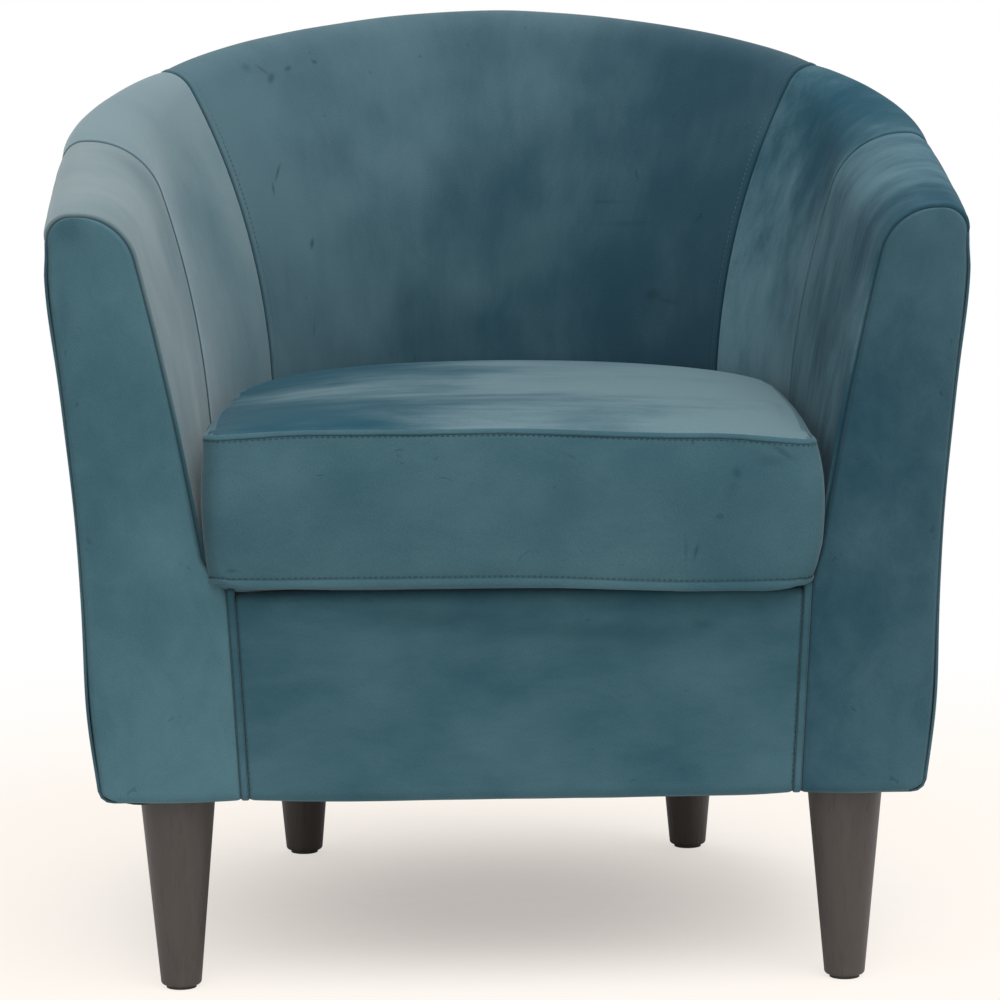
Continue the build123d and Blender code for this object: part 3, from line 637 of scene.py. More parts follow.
def velvet(
    name, dark, light, patches, contrast, stroke, wisps, mapped=True, sheen=0.2, shift=(0, 0, 0),
    drift=(0, 0, 0), start=0.5, marks=(),
):
    """Teal velvet, brushed in patches and along a stroke, on the cloth's own map or on the object."""
    material, tree, shader = start_material(
        name,
        Sheen_Weight=sheen,
        Sheen_Roughness=0.45,
        Sheen_Tint=(0.70, 0.80, 0.84, 1.0),
        Specular_IOR_Level=0.12,
    )
    place = add(tree, "UVMap", uv_map="cloth").outputs[0] if mapped else object_place(tree)
    brush = {"Vector": place, "Shift": shift, "Patches": patches, "Contrast": contrast, "Stroke": stroke}
    brush.update({"Wisps": wisps, "Drift": drift, "Start": start})
    # Its drift, where one is given, paints light and shade as a slope across the cloth
    nap_and_light = place_effect(tree, nap_effect, brush)
    bruises = maths(tree, "MULTIPLY", nap_and_light["Bruise"], bruise_strength)
    marks_and_shade = maths(tree, "MAXIMUM", bruises, ellipse_marks(tree, place, mapped, marks))
    # Painted shade at the seams, under the front of the cushion's lips and at its left front corner, read
    # from an attribute
    seam = add(tree, "Attribute", attribute_name="seam").outputs["Fac"]
    colour = mix_colours(tree, nap_and_light["Nap_and_light"], dark, light)
    colour = mix_colours(tree, marks_and_shade, colour, mark_and_shade_tint, "MULTIPLY")
    pile = spread_out(tree, nap_and_light["Pile"], 0.2, 0.8, to_low=0.35, to_high=1.65)
    colour = mix_colours(tree, pile_strength, colour, pile, "MULTIPLY")
    colour = mix_colours(tree, maths(tree, "MULTIPLY", seam, seam_strength), colour, seam_colour)
    roughness = spread_out(tree, nap_and_light["Nap_and_light"], 0.0, 1.0, to_low=0.92, to_high=0.78)
    height = maths(tree, "ADD", nap_and_light["Pile"], maths(tree, "MULTIPLY", nap_and_light["Nap_and_light"], nap_height))
    height = maths(tree, "SUBTRACT", height, marks_and_shade)
    surface(tree, shader, colour, roughness, height, distance=0.0003)
    return material


def wooden(name, dark, light, scale, roughness, pore_depth):
    material, tree, shader = start_material(name, Specular_IOR_Level=0.35)
    grain = effect_on_object(tree, grain_effect, scale)
    colour = mix_colours(tree, grain["Grain"], dark, light)
    colour = mix_colours(tree, maths(tree, "MULTIPLY", grain["Pore"], pore_depth), colour, dark)
    gloss = (roughness - wood_gloss_range, roughness + wood_gloss_range)
    rough = spread_out(tree, grain["Grain"], 0.2, 0.8, *gloss)
    height = maths(tree, "SUBTRACT", grain["Grain"], grain["Pore"])
    surface(tree, shader, colour, rough, height, distance=0.0002)
    return material


def woven(name, dark, light, scale):
    material, tree, shader = start_material(name, Specular_IOR_Level=0.15)
    threads = effect_on_object(tree, weave_effect, scale)
    colour = mix_colours(tree, threads["Slub"], dark, light)
    colour = mix_colours(tree, maths(tree, "MULTIPLY", threads["Weave"], 0.5), colour, light)
    rough = spread_out(tree, threads["Slub"], 0.2, 0.8, to_low=0.8, to_high=0.95)
    surface(tree, shader, colour, rough, threads["Weave"], distance=0.0004)
    return material


def grained(name, dark, light, scale, rough, depth, metallic=0.0):
    """Speckled finish for foam, board, felt, moulded plastic and metal."""
    material, tree, shader = start_material(name, Metallic=metallic)
    speckle = effect_on_object(tree, speckle_effect, scale)
    colour = mix_colours(tree, maths(tree, "MULTIPLY", speckle["Grain"], speckle["Drift"]), dark, light)
    roughness = spread_out(tree, speckle["Grain"], 0.2, 0.8, *rough)
    surface(tree, shader, colour, roughness, speckle["Grain"], depth)
    return material


# Marks pressed into the pile, and on the border streaks of painted shade: place across and up, half sizes,
# turn in degrees and strength
back_marks = (
    (0.637, 0.386, 0.0050, 0.0100, -35, 0.75),
    (0.642, 0.394, 0.0110, 0.0030, -52, 0.5),
    (0.619, 0.394, 0.0060, 0.0034, 30, 0.75),
    (0.594, 0.399, 0.0036, 0.0036, 0, 0.75),
    (0.656, 0.398, 0.0060, 0.0080, 0, 0.45),
    (0.661, 0.297, 0.0140, 0.0024, 56, 0.8),
    (0.671, 0.283, 0.0024, 0.0090, -10, 0.8),
    (0.640, 0.231, 0.0034, 0.0080, -28, 1.0),
    (0.272, 0.181, 0.0140, 0.0080, 10, 0.45),
    (0.250, 0.176, 0.0180, 0.0040, -8, 0.35),
    (0.330, 0.262, 0.0300, 0.0030, 0, 0.3),
    (0.310, 0.243, 0.0420, 0.0040, 4, 0.2),
)
front_marks = ((0.340, 0.608, 0.036, 0.022, -25, 0.45), (0.345, 0.545, 0.008, 0.050, 0, 0.25))
# Streaks of painted shade across the top of the border, under the cushion's overhang
border_shade_marks = (
    (-0.065, 0.300, 0.110, 0.012, 0, 0.30),
    (0.060, 0.289, 0.120, 0.011, 3, 0.35),
    (0.142, 0.294, 0.014, 0.007, 0, 0.40),
)
boxing_marks = (
    (0.175, 0.415, 0.0060, 0.0080, -25, 0.55),
    (0.172, 0.403, 0.0090, 0.0130, 15, 0.25),
    (0.143, 0.354, 0.0024, 0.0100, 15, 0.75),
    (0.135, 0.356, 0.0024, 0.0180, 0, 0.35),
    (0.212, 0.430, 0.0160, 0.0040, 35, 0.5),
    (0.200, 0.424, 0.0240, 0.0080, 10, 0.3),
    (-0.218, 0.343, 0.0070, 0.0022, 0, 0.6),
)
wall_velvet = velvet("wall_velvet", (0.022, 0.062, 0.084), (0.058, 0.118, 0.143), 8.0, 0.6, (22, 26, 22), 0.2)
# Lighter towards the left and the top: partly the brushed nap, partly painted light
back_velvet = velvet(
    "back_velvet", (0.015, 0.050, 0.072), (0.066, 0.126, 0.152), 9.0, 0.5, (34, 12, 34), 0.25,
    drift=(0.75, 0.50, 0), start=0.01, marks=back_marks,
)
# Lit and shaded copies of one velvet: the left arm and wing are paler and lighter towards the top, the right
# ones deeper and darker towards the top. This is partly the brushed nap, partly painted light on the left and
# painted shade on the right.
arm_velvet = {
    "left": velvet(
        "left_arm_velvet", (0.028, 0.084, 0.104), (0.172, 0.224, 0.238), 5.0, 0.8, (24, 9, 24), 0.25,
        sheen=0.32, drift=(0, 1.25, 0), start=0.20,
    ),
    "right": velvet(
        "right_arm_velvet", (0.010, 0.052, 0.080), (0.092, 0.182, 0.222), 8.0, 0.7, (40, 14, 40), 0.50,
        sheen=0.04, drift=(0.6, -0.25, 0), start=0.65,
    ),
}
wing_velvet = {
    "left": velvet(
        "left_wing_velvet", (0.042, 0.106, 0.134), (0.144, 0.210, 0.232), 5.0, 0.8, (24, 9, 24), 0.25,
        sheen=0.42, drift=(0, 0.8, 0), start=0.34,
    ),
    "right": velvet(
        "right_wing_velvet", (0.012, 0.060, 0.090), (0.120, 0.216, 0.256), 8.0, 0.6, (34, 16, 34), 0.45,
        sheen=0.04, shift=(0.23, 0.12, 0), drift=(0, -1.1, 0), start=0.79,
    ),
}
front_velvet = {
    "left": velvet(
        "left_front_velvet", (0.022, 0.070, 0.094), (0.066, 0.142, 0.168), 8.0, 0.4, (26, 18, 26), 0.35,
        drift=(-0.6, 0, 0), start=0.73, marks=front_marks,
    ),
    "right": velvet(
        "right_front_velvet", (0.010, 0.044, 0.065), (0.052, 0.112, 0.138), 8.0, 0.4, (26, 18, 26), 0.35,
        drift=(1.2, 0, 0), start=0.13,
    ),
}
# Darker towards the top: painted shadow of the cushion that overhangs the border
border_velvet = velvet(
    "border_velvet", (0.018, 0.062, 0.084), (0.050, 0.112, 0.136), 9.0, 0.55, (14, 34, 14), 0.40,
    drift=(0, -0.9, 0), start=0.71, marks=border_shade_marks,
)
boxing_velvet = velvet(
    "boxing_velvet", (0.032, 0.084, 0.108), (0.054, 0.118, 0.142), 10.0, 0.7, (16, 30, 30), 0.50, False,
    marks=boxing_marks,
)
seat_velvet = velvet(
    "seat_velvet", (0.006, 0.054, 0.082), (0.110, 0.180, 0.206), 6.0, 0.9, (9, 32, 32), 0.60, False,
    sheen=0.12, shift=(0.35, 0.1, 0), drift=(1.2, 0, 0), start=0.57,
)
# One thread in two copies: darker with painted shade where its stitches sit in dips and holes, paler with
# painted light on the right
shaded_thread = grained("shaded_thread", (0.008, 0.028, 0.038), (0.024, 0.062, 0.078), 900.0, (0.7, 0.9), 0.0002)
lit_thread = grained("lit_thread", (0.036, 0.088, 0.108), (0.080, 0.158, 0.184), 900.0, (0.6, 0.8), 0.0002)
finishes = (
    (wooden, "leg_wood", (0.036, 0.029, 0.025), (0.062, 0.052, 0.046), 60.0, 0.48, 0.5),
    (wooden, "frame_wood", (0.36, 0.24, 0.13), (0.62, 0.46, 0.29), 35.0, 0.62, 0.4),
    (grained, "fibreboard", (0.24, 0.16, 0.10), (0.46, 0.34, 0.22), 400.0, (0.8, 0.95), 0.0003),
    (grained, "foam", (0.62, 0.56, 0.40), (0.86, 0.81, 0.66), 900.0, (0.85, 0.98), 0.0006),
    (grained, "felt", (0.13, 0.12, 0.11), (0.36, 0.34, 0.31), 500.0, (0.9, 0.98), 0.0008),
    (grained, "steel", (0.42, 0.42, 0.43), (0.66, 0.66, 0.67), 300.0, (0.28, 0.45), 0.00005, 1.0),
    (grained, "glide_plastic", (0.012, 0.012, 0.012), (0.03, 0.03, 0.03), 700.0, (0.5, 0.65), 0.0001),
    (woven, "zip_nylon", (0.012, 0.038, 0.052), (0.03, 0.08, 0.10), 260.0),
    (grained, "zip_metal", (0.02, 0.035, 0.042), (0.05, 0.075, 0.085), 300.0, (0.3, 0.42), 0.00005, 0.6),
    (woven, "deck_fabric", (0.018, 0.030, 0.038), (0.05, 0.07, 0.08), 130.0),
    (woven, "dust_fabric", (0.006, 0.006, 0.006), (0.022, 0.022, 0.023), 160.0),
)
slot_materials = {name: make(name, *look) for make, name, *look in finishes}
slot_materials["velvet"] = wall_velvet


def finish_frame_nodes():
    """Give every node of the frame the material of its slot."""
    for entry in frame["record"]["subparts"]:
        slots = frame["nodes"][entry["node"]].material_slots
        for place in slots:
            place.link = "OBJECT"
            place.material = slot_materials[entry["material_slot"]]


# Covers of the tub wall


def wall_panel(name, turns, reach, edges, grid, material, replaced, thickness, seed):
    """Cover over a stretch of the wall, sewn in along its edges and swelling between them."""
    first, last = turns
    mesh = cloth_grid(*grid)
    cuts = {}

    def place(across, up):
        key = round(across, 6)
        if key not in cuts:
            turn = blend(first, last, crowded(across))
            cuts[key] = (turn, cut_at(turn))
        turn, cut = cuts[key]
        start, end = reach(cut[0])
        along = blend(start, end, up)
        point = cut[0].at(along)[0]
        radius = mean_radius if turn < 0 or turn > 180 else point.x
        from_edges = (radians(turn - first) * radius, radians(last - turn) * radius)
        from_join = abs(along - cut[0].inside)
        nearest = min(from_edges)
        lift = cover_swell * (1 - exp(-nearest / swell_reach)) + seam_relief("faint", from_join)
        lift += ripple(radians(turn) * mean_radius, along, seed) * settled(nearest)
        band = smooth(*band_fade, from_join)
        shade = 0.0
        for kind, away in zip(edges, from_edges):
            lift += seam_relief(kind, away, band)
            if kind != "faint":
                shade = max(shade, seam_dark(away))
        if reach is outside_reach:
            past_arm = smooth(0.0, shoulder_angle, min(turn, 180 - turn))
            lift += side_bulge(point.y) * settled(from_join) * (1 - past_arm)
        return wall_spot(cut, along, lift)[0], (radians(turn) * mean_radius, along), shade

    lay_cloth(mesh, place)
    bmesh.ops.reverse_faces(mesh, faces=mesh.faces)
    piece = new_piece(name, mesh, material, "chair", replaced, thickness)


def inside_reach(cut):
    return -tuck_below_deck, cut.inside


def outside_reach(cut):
    return cut.inside, cut.whole


def side_panel(side, name, turns, reach, edges, *rest):
    """Cover of the right side of the wall, or its mirror image on the left."""
    if side == "left":
        turns = (180 - turns[1], 180 - turns[0])
        edges = edges[::-1]
    wall_panel(f"{name}_{side}", turns, reach, edges, *rest)


def build_wall():
    """Inside and outside covers, from the right arm round the back to the left arm."""
    arm_end = (arm_length - arm_setback) / mean_radius * 180 / pi
    back = (shoulder_angle, 180 - shoulder_angle)
    outer_grid = (150, 90)
    for side, seed in (("right", 3.1), ("left", 8.7)):
        side_panel(
            side, "inside_arm", (-arm_end, 0.0), inside_reach, ("stitched", "plain"), (110, 130),
            arm_velvet[side], (f"inside_arm_cover_{side}", f"arm_foam_{side}"), pad_thickness, seed,
        )
        side_panel(
            side, "inside_wing", (0.0, shoulder_angle), inside_reach, ("lapped", "plain"), (90, 130),
            wing_velvet[side], (f"inside_wing_cover_{side}", "back_foam"), pad_thickness, seed + 1,
        )
        side_panel(
            side, "outside_arm", (-arm_end, shoulder_angle), outside_reach, ("faint", "plain"), outer_grid,
            wall_velvet, (f"outside_arm_cover_{side}",), cloth_thickness, seed + 2,
        )
    wall_panel(
        "inside_back", back, inside_reach, ("stitched", "stitched"), (190, 130),
        back_velvet, ("inside_back_cover", "back_foam"), pad_thickness, 13.3,
    )
    wall_panel(
        "outside_back", back, outside_reach, ("plain", "plain"), outer_grid,
        wall_velvet, ("outside_back_cover",), cloth_thickness, 15.9,
    )


# Stitches


def stitch_row(name, spots, body, thread=shaded_thread):
    """Row of short stitches through a list of places, each with its tangent and the way that it faces."""
    one = bmesh.new()
    size = Matrix.Diagonal((stitch_radius, stitch_radius, stitch_length / 2, 1))
    bmesh.ops.create_uvsphere(one, u_segments=6, v_segments=4, radius=1.0, matrix=size)
    stitch = bpy.data.meshes.new("stitch")
    one.to_mesh(stitch)
    one.free()
    mesh = bmesh.new()
    for point, tangent, normal in spots:
        along = tangent.normalized()
        across = normal.cross(along).normalized()
        turn = Matrix((across, along.cross(across), along)).transposed().to_4x4()
        move = Matrix.Translation(point) @ turn
        stitch.transform(move)
        mesh.from_mesh(stitch)
        stitch.transform(move.inverted())
    bpy.data.meshes.remove(stitch)
    new_piece(name, mesh, thread, body)


def wall_stitches(turn, first, last):
    """Places of the stitches along one cut of the wall."""
    place = cut_at(turn)
    lift = cover_swell * (1 - exp(-stitch_line / swell_reach)) - stitch_dip + stitch_radius * stitch_rise
    spots = []
    along = first
    while along < last:
        point, normal = wall_spot(place, along, lift)
        ahead = wall_spot(place, along + stitch_length, lift)[0]
        spots.append((point, ahead - point, normal))
        along += stitch_pitch
    return spots


def stitch_wall():
    """Stitched-down bands beside the back cover and along the fronts of the inside arm covers."""
    arm_offset = (stitch_line + arm_setback) / mean_radius * 180 / pi
    arm_cut = cut_at(-arm_turn)[0]
    shoulder_place = cut_at(shoulder_angle)[0]
    shoulder_radius = shoulder_place.at(shoulder_place.inside / 2)[0].x
    back_offset = stitch_line / shoulder_radius * 180 / pi
    rows = {
        "stitches_arm_right": (-arm_turn + arm_offset, arm_cut),
        "stitches_arm_left": (180 + arm_turn - arm_offset, arm_cut),
        "stitches_back_right": (shoulder_angle + back_offset, shoulder_place),
        "stitches_back_left": (180 - shoulder_angle - back_offset, shoulder_place),
    }
    for name, (turn, cut) in rows.items():
        # Painted light on the stitches of the right side, painted shade on the others
        thread = lit_thread if name.endswith("right") else shaded_thread
        stitch_row(name, wall_stitches(turn, 0.0, cut.inside - row_end_gap), "chair", thread)


# Front of the chair


def welt_at(height):
    """Distance from the middle of the border to the centre of a welt at a height."""
    share = (min(max(height, underside), deck) - underside) / (deck - underside)
    return blend(welt_bottom_x, welt_top_x, share)


def fold_back(height, forward, top=inf):
    """Depth and height of front cloth that folds back under the seat, and over its top edge if it has one."""
    level = min(max(height, underside + front_fold), top)
    run = abs(height - level)
    angle = min(run / front_fold, pi / 2)
    radius = front_fold + forward
    depth = arm_front - forward + radius * (1 - cos(angle)) + run - angle * front_fold
    over = radius * sin(angle)
    return depth, level + over if height > level else level - over


def front_lift(inner, outer, inner_drop, outer_drop):
    """How far front cloth stands out at its distances from its two edges, each with its own drop."""
    swell = front_swell * (1 - exp(-min(inner, outer) / front_swell_reach))
    return swell - inner_drop * bell(inner, front_edge_width) - outer_drop * bell(outer, front_edge_width)


def arm_front_panel(side, name, seed):
    """Panel over the end of an arm, in the outline of the arm and the welt beside it."""
    cut = cut_at(-arm_turn)[0]
    welt_edge = side * welt_shift + welt_half_width
    welt_foot = Vector((welt_at(underside) + welt_edge, underside))
    welt_head = Vector((welt_at(deck) + welt_edge, deck))
    lower = (welt_head - welt_foot).length
    inset = seams["plain"][0]
    mesh = cloth_grid(60, 150)

    def wall_edge(along):
        point, facing = cut.at(along)
        bulge = front_bulge_share * side_bulge(point.y) * settled(along - cut.inside)
        return point + polar(facing) * (bulge - inset)

    def inner_edge(share):
        walked = share * (lower + cut.crest)
        if walked < lower:
            return welt_foot.lerp(welt_head, walked / lower)
        spot = wall_edge(walked - lower)
        return spot.lerp(Vector((welt_head.x, spot.y)), 1 - settled(walked - lower))

    def outer_edge(share):
        return wall_edge(blend(cut.hem, cut.crest, share))

    def place(across, up):
        tucked = max(0.0, hem_share - up) / hem_share * hem_tuck
        share = max(0.0, up - hem_share) / (1 - hem_share)
        inner, outer = inner_edge(share), outer_edge(share)
        aside = crowded(across)
        point = inner.lerp(outer, aside)
        width = (outer - inner).length
        away = min(aside, 1 - aside) * width
        past_welt = smooth(deck - welt_fade_below, deck + welt_fade_above, inner.y)
        inner_drop = blend(welt_drop, front_edge_drop, past_welt)
        forward = front_lift(aside * width, (1 - aside) * width, inner_drop, front_edge_drop)
        forward += ripple(point.x, point.y, seed) * settled(away)
        spot = Vector((side * point.x, *fold_back(point.y - tucked, forward)))
        return spot, (point.x, point.y), seam_dark(away)

    lay_cloth(mesh, place, weld=True)
    if side < 0:
        bmesh.ops.reverse_faces(mesh, faces=mesh.faces)
    replaced = (f"arm_front_panel_{name}", f"arm_front_pad_{name}")
    piece = new_piece(
        f"arm_front_{name}", mesh, front_velvet[name], "chair", replaced, front_thickness
    )


def front_border():
    """Border under the cushion, folded in at the bottom and back over the deck's front edge at the top."""
    mesh = cloth_grid(130, 60)

    def place(across, up):
        height = blend(underside - hem_tuck, deck + border_return, up)
        half = welt_at(height) - welt_half_width
        aside = crowded(across) * 2 - 1
        away = (1 - abs(aside)) * half
        forward = front_lift(away, 2 * half - away, welt_drop, welt_drop)
        forward += ripple(aside * half, height, border_seed) * settled(away)
        spot = Vector((aside * half + welt_shift, *fold_back(height, forward, deck - front_fold)))
        return spot, (aside * half, height), seam_dark(away)

    lay_cloth(mesh, place)
    replaced = ("front_border_cover", "front_border_pad")
    piece = new_piece("front_border", mesh, border_velvet, "chair", replaced, border_thickness)


def front_welts():
    """Narrow bands between the border and the arm fronts, each with a row of stitches on its inner side."""
    spots = []
    for side, name in ((-1, "left"), (1, "right")):
        mesh = cloth_grid(10, 60)

        def place(across, up):
            height = blend(underside - hem_tuck, deck + front_fold, up)
            aside = across * 2 - 1
            forward = welt_proud * (1 - aside**4) - welt_drop * aside**8
            across_front = side * welt_at(height) + welt_shift + aside * welt_half_width
            shade = seam_dark((1 - abs(aside)) * welt_half_width)
            return Vector((across_front, *fold_back(height, forward))), (across_front, height), shade

        lay_cloth(mesh, place)
        replaced = ("front_welts",) if side < 0 else ()
        new_piece(f"front_welt_{name}", mesh, border_velvet, "chair", replaced, cloth_thickness)
        height = underside + front_fold + stitch_pitch
        while height < deck - stitch_pitch:
            inner = welt_at(height) - welt_half_width - stitch_gap
            slope = Vector((side * (welt_top_x - welt_bottom_x), 0, deck - underside))
            spot = Vector((side * inner + welt_shift, arm_front + welt_stitch_sink, height))
            spots.append((spot, slope, Vector((0, -1, 0))))
            height += stitch_pitch
    stitch_row("stitches_welts", spots, "chair")


# Seat cushion


class SeatPlan:
    """Plan of the cushion at one level: bowed front, rounded corners, sides and a half round back."""

    def __init__(self, half_width, radius, front):
        self.half_width = half_width
        self.radius = radius
        self.front = front
        self.side = Vector((radius - half_width, back_centre - front - cushion_corner))
        self.spans = (half_width - cushion_corner, cushion_corner * pi / 2, self.side.length, radius * pi / 2)
        self.half = sum(self.spans)

    def right_half(self, walked):
        """Point and outward direction at a distance from the front middle."""
        flat, turn, side, _ = self.spans
        corner_back = self.front + cushion_corner
        if walked < flat:
            share = walked / flat
            point = Vector((walked, self.front - cushion_bow * (1 - share * share)))
            return point, Vector((2 * cushion_bow * share / flat, -1)).normalized()
        walked -= flat
        if walked < turn:
            out = polar(walked / cushion_corner - pi / 2)
            return Vector((flat, corner_back)) + out * cushion_corner, out
        walked -= turn
        if walked < side:
            out = Vector((self.side.y, -self.side.x)).normalized()
            return Vector((self.half_width, corner_back)) + self.side * (walked / side), out
        out = polar((walked - side) / self.radius)
        return Vector((0, back_centre)) + out * self.radius, out

    def at(self, share):
        """Point and outward direction at a share of the way round."""
        walked = (share % 1.0) * 2 * self.half
        if walked <= self.half:
            return self.right_half(walked)
        point, out = self.right_half(2 * self.half - walked)
        return Vector((-point.x, point.y)), Vector((-out.x, out.y))


low_plan = SeatPlan(low_width, low_radius, cushion_front)
middle_plan = SeatPlan(middle_width, middle_radius, cushion_front - boxing_bulge)
high_plan = SeatPlan(high_width, high_radius, cushion_front)


def plan_at(level):
    """Plan of the boxing at a level between the seams, drawn as a bulge through the middle one."""
    share = (level - low_seam) / (high_seam - low_seam)
    full = 4 * share * (1 - share)

    def size(name):
        straight = blend(getattr(low_plan, name), getattr(high_plan, name), share)
        middle = (getattr(low_plan, name) + getattr(high_plan, name)) / 2
        return straight + full * (getattr(middle_plan, name) - middle)

    return SeatPlan(size("half_width"), size("radius"), size("front"))


def past_arms(depths, depth):
    """Share that grows from 0 to 1 between two depths, which are counted from the fronts of the arms."""
    start, end = depths
    return smooth(arm_front + start, arm_front + end, depth)


def squeezed(point):
    """Point of the cushion as it lies between the arms: wider in front of them, uneven, corners drawn in."""
    share = min(max((point.z - low_seam) / (high_seam - low_seam), 0.0), 1.0)
    full = 1 - (2 * share - 1) ** 4
    side = 1 if point.x > 0 else -1
    aside = abs(point.x)
    spread = blend(low_spread, high_spread, share) + full * (middle_spread - (low_spread + high_spread) / 2)
    spread -= left_narrowing * full if side < 0 else 0
    upper = smooth(*upper_half, share)
    ahead = past_arms(spread_depths, point.y)
    near_corner = past_arms(droop_depths, point.y) * smooth(*droop_widths, aside)
    back = (point.y - cushion_front) / (back_centre + high_radius - cushion_front)
    uneven = blend(front_lift_left, -front_drop_right, smooth(*uneven_widths, point.x))
    hanging = past_arms(hang_depths, point.y)
    resting = past_arms(rest_depths, point.y)
    below = max(0.0, low_seam - point.z) * hanging * smooth(*pinch_widths, aside)
    pinch, droop = (pinch_right, droop_right) if side > 0 else (pinch_left, droop_left)
    on_left = smooth(*sag_widths, point.x) * upper
    sag = side_sag * on_left * bell(point.y - back_centre, sag_length)
    moved = point.copy()
    moved.z -= seat_rake * share * smooth(0.0, 1.0, back)
    moved.z += uneven * blend(hanging, resting, share)
    moved.z += below * pinch - droop * near_corner * upper - sag
    moved.x += side * (spread * ahead * smooth(*spread_widths, aside) - pinch_draw * below) + sag
    return moved


def cushion_blank():
    """Rough cushion: rings of its plan from the underside over the boxing to the crown."""
    rings = [(cushion_bottom + rise, low_plan, inset) for rise, inset in underside_rings]
    for step in range(boxing_steps + 1):
        level = blend(low_seam, high_seam, step / boxing_steps)
        rings.append((level, plan_at(level), 0.0))
    for share, inset in crown_rings:
        rings.append((blend(high_seam, cushion_top, share), high_plan, inset))
    mesh = bmesh.new()
    way = mesh.verts.layers.float.new("way")
    made = bmesh.ops.create_circle(mesh, cap_ends=True, segments=cushion_ring_points, radius=1.0)
    for index, vertex in enumerate(made["verts"]):
        vertex[way] = index / cushion_ring_points
    mesh.faces.ensure_lookup_table()
    cap = mesh.faces[0]
    for number, (level, plan, inset) in enumerate(rings):
        if number:
            grown = bmesh.ops.extrude_face_region(mesh, geom=[cap])["geom"]
            top = [item for item in grown if isinstance(item, bmesh.types.BMFace)][0]
            if number > 1:
                bmesh.ops.delete(mesh, geom=[cap], context="FACES_ONLY")
            cap = top
        for vertex in cap.verts:
            point, out = plan.at(vertex[way])
            vertex.co = (point - out * inset).to_3d() + Vector((0, 0, level))
    bmesh.ops.recalc_face_normals(mesh, faces=mesh.faces)
    return mesh


def evaluated_mesh(piece):
    """Mesh of a piece with its modifiers applied."""
    shown = piece.evaluated_get(bpy.context.evaluated_depsgraph_get())
    return bpy.data.meshes.new_from_object(shown)


def near_seam(point):
    """Whether a point of the cushion is held by one of its two seams."""
    on_level = min(abs(point.z - low_seam), abs(point.z - high_seam)) < pin_reach
    plan = low_plan if point.z < (low_seam + high_seam) / 2 else high_plan
    beside = abs(point.x) > plan.half_width - seam_margin or point.y < plan.front + seam_margin
    from_centre = hypot(point.x, point.y - back_centre)
    round_back = point.y > back_centre and from_centre > plan.radius - seam_margin
    return on_level and (beside or round_back)


def inflate(piece):
    """Let the cushion's cloth swell over its filling, held along the seams."""
    rest = [vertex.co.copy() for vertex in piece.data.vertices]
    held = piece.vertex_groups.new(name="seams")
    held.add([index for index, point in enumerate(rest) if near_seam(point)], 1.0, "REPLACE")
    cloth = piece.modifiers.new("cloth", "CLOTH")
    settings = cloth.settings
    settings.quality = 6
    settings.mass = 0.3
    settings.tension_stiffness = 22.0
    settings.compression_stiffness = 22.0
    settings.shear_stiffness = 8.0
    settings.bending_stiffness = 4.0
    settings.use_pressure = True
    settings.uniform_pressure_force = cloth_pressure
    settings.vertex_group_mass = "seams"
    settings.effector_weights.gravity = 0.0
    cloth.collision_settings.use_collision = False
    cloth.point_cache.frame_end = cloth_frames
    for number in range(1, cloth_frames + 1):
        scene.frame_set(number)
    swollen = evaluated_mesh(piece)
    for start, vertex in zip(rest, swollen.vertices):
        moved = vertex.co - start
        if moved.length > most_movement:
            vertex.co = start + moved.normalized() * most_movement
    piece.modifiers.remove(cloth)
    piece.data = swollen
    scene.frame_set(1)


def dress_cushion(piece):
    """Draw the cushion in along its seams and behind the zip, keep it off the deck and mark its top panel."""
    zip_half = (zip_high.z - zip_low.z) / 2 + zip_margin
    on_top = [face.center.z > high_seam + top_panel_start for face in piece.data.polygons]
    # Painted shade along the lower seam and at the left front corner, kept as an attribute for the velvet
    lie = []
    for vertex in piece.data.vertices:
        in_front = past_arms(shade_depths, vertex.co.y)
        corner_nap_and_shade = left_shade * in_front * smooth(*shade_widths, vertex.co.x)
        lie.append(max(seam_dark(vertex.co.z - low_seam), corner_nap_and_shade))
    centre = Vector((0, back_centre, (low_seam + high_seam) / 2))
    for vertex in piece.data.vertices:
        point = vertex.co
        if near_seam(point):
            level = min(abs(point.z - low_seam), abs(point.z - high_seam))
            drawn_in = seam_draw if point.z < centre.z else -seam_ridge
            point += (centre - point).normalized() * drawn_in * bell(level, seam_draw_width)
        flat = Vector((point.x, point.y - back_centre))
        if flat.y > flat.length * hollow_sine and flat.length > zip_radius - hollow_depth:
            sink = smooth(zip_half + zip_slope, zip_half, abs(point.z - zip_level))
            drawn = flat.normalized() * blend(flat.length, min(flat.length, zip_radius - zip_sink), sink)
            point.x, point.y = drawn.x, drawn.y + back_centre
        point.z = max(point.z, cushion_bottom)
        vertex.co = squeezed(point)
    piece.data.materials.clear()
    piece.data.materials.append(boxing_velvet)
    piece.data.materials.append(seat_velvet)
    for face, above in zip(piece.data.polygons, on_top):
        face.material_index = 1 if above else 0
    shade = piece.data.attributes.new("seam", "FLOAT", "POINT")
    for mark, dark in zip(shade.data, lie):
        mark.value = dark
    piece.data.shade_smooth()


def lie_on(cover, point, lift):
    """Place lifted off the cover's surface nearest to a point, and the way that the surface faces there."""
    near, facing, _, _ = cover.find_nearest(point)
    return near + facing * lift, facing


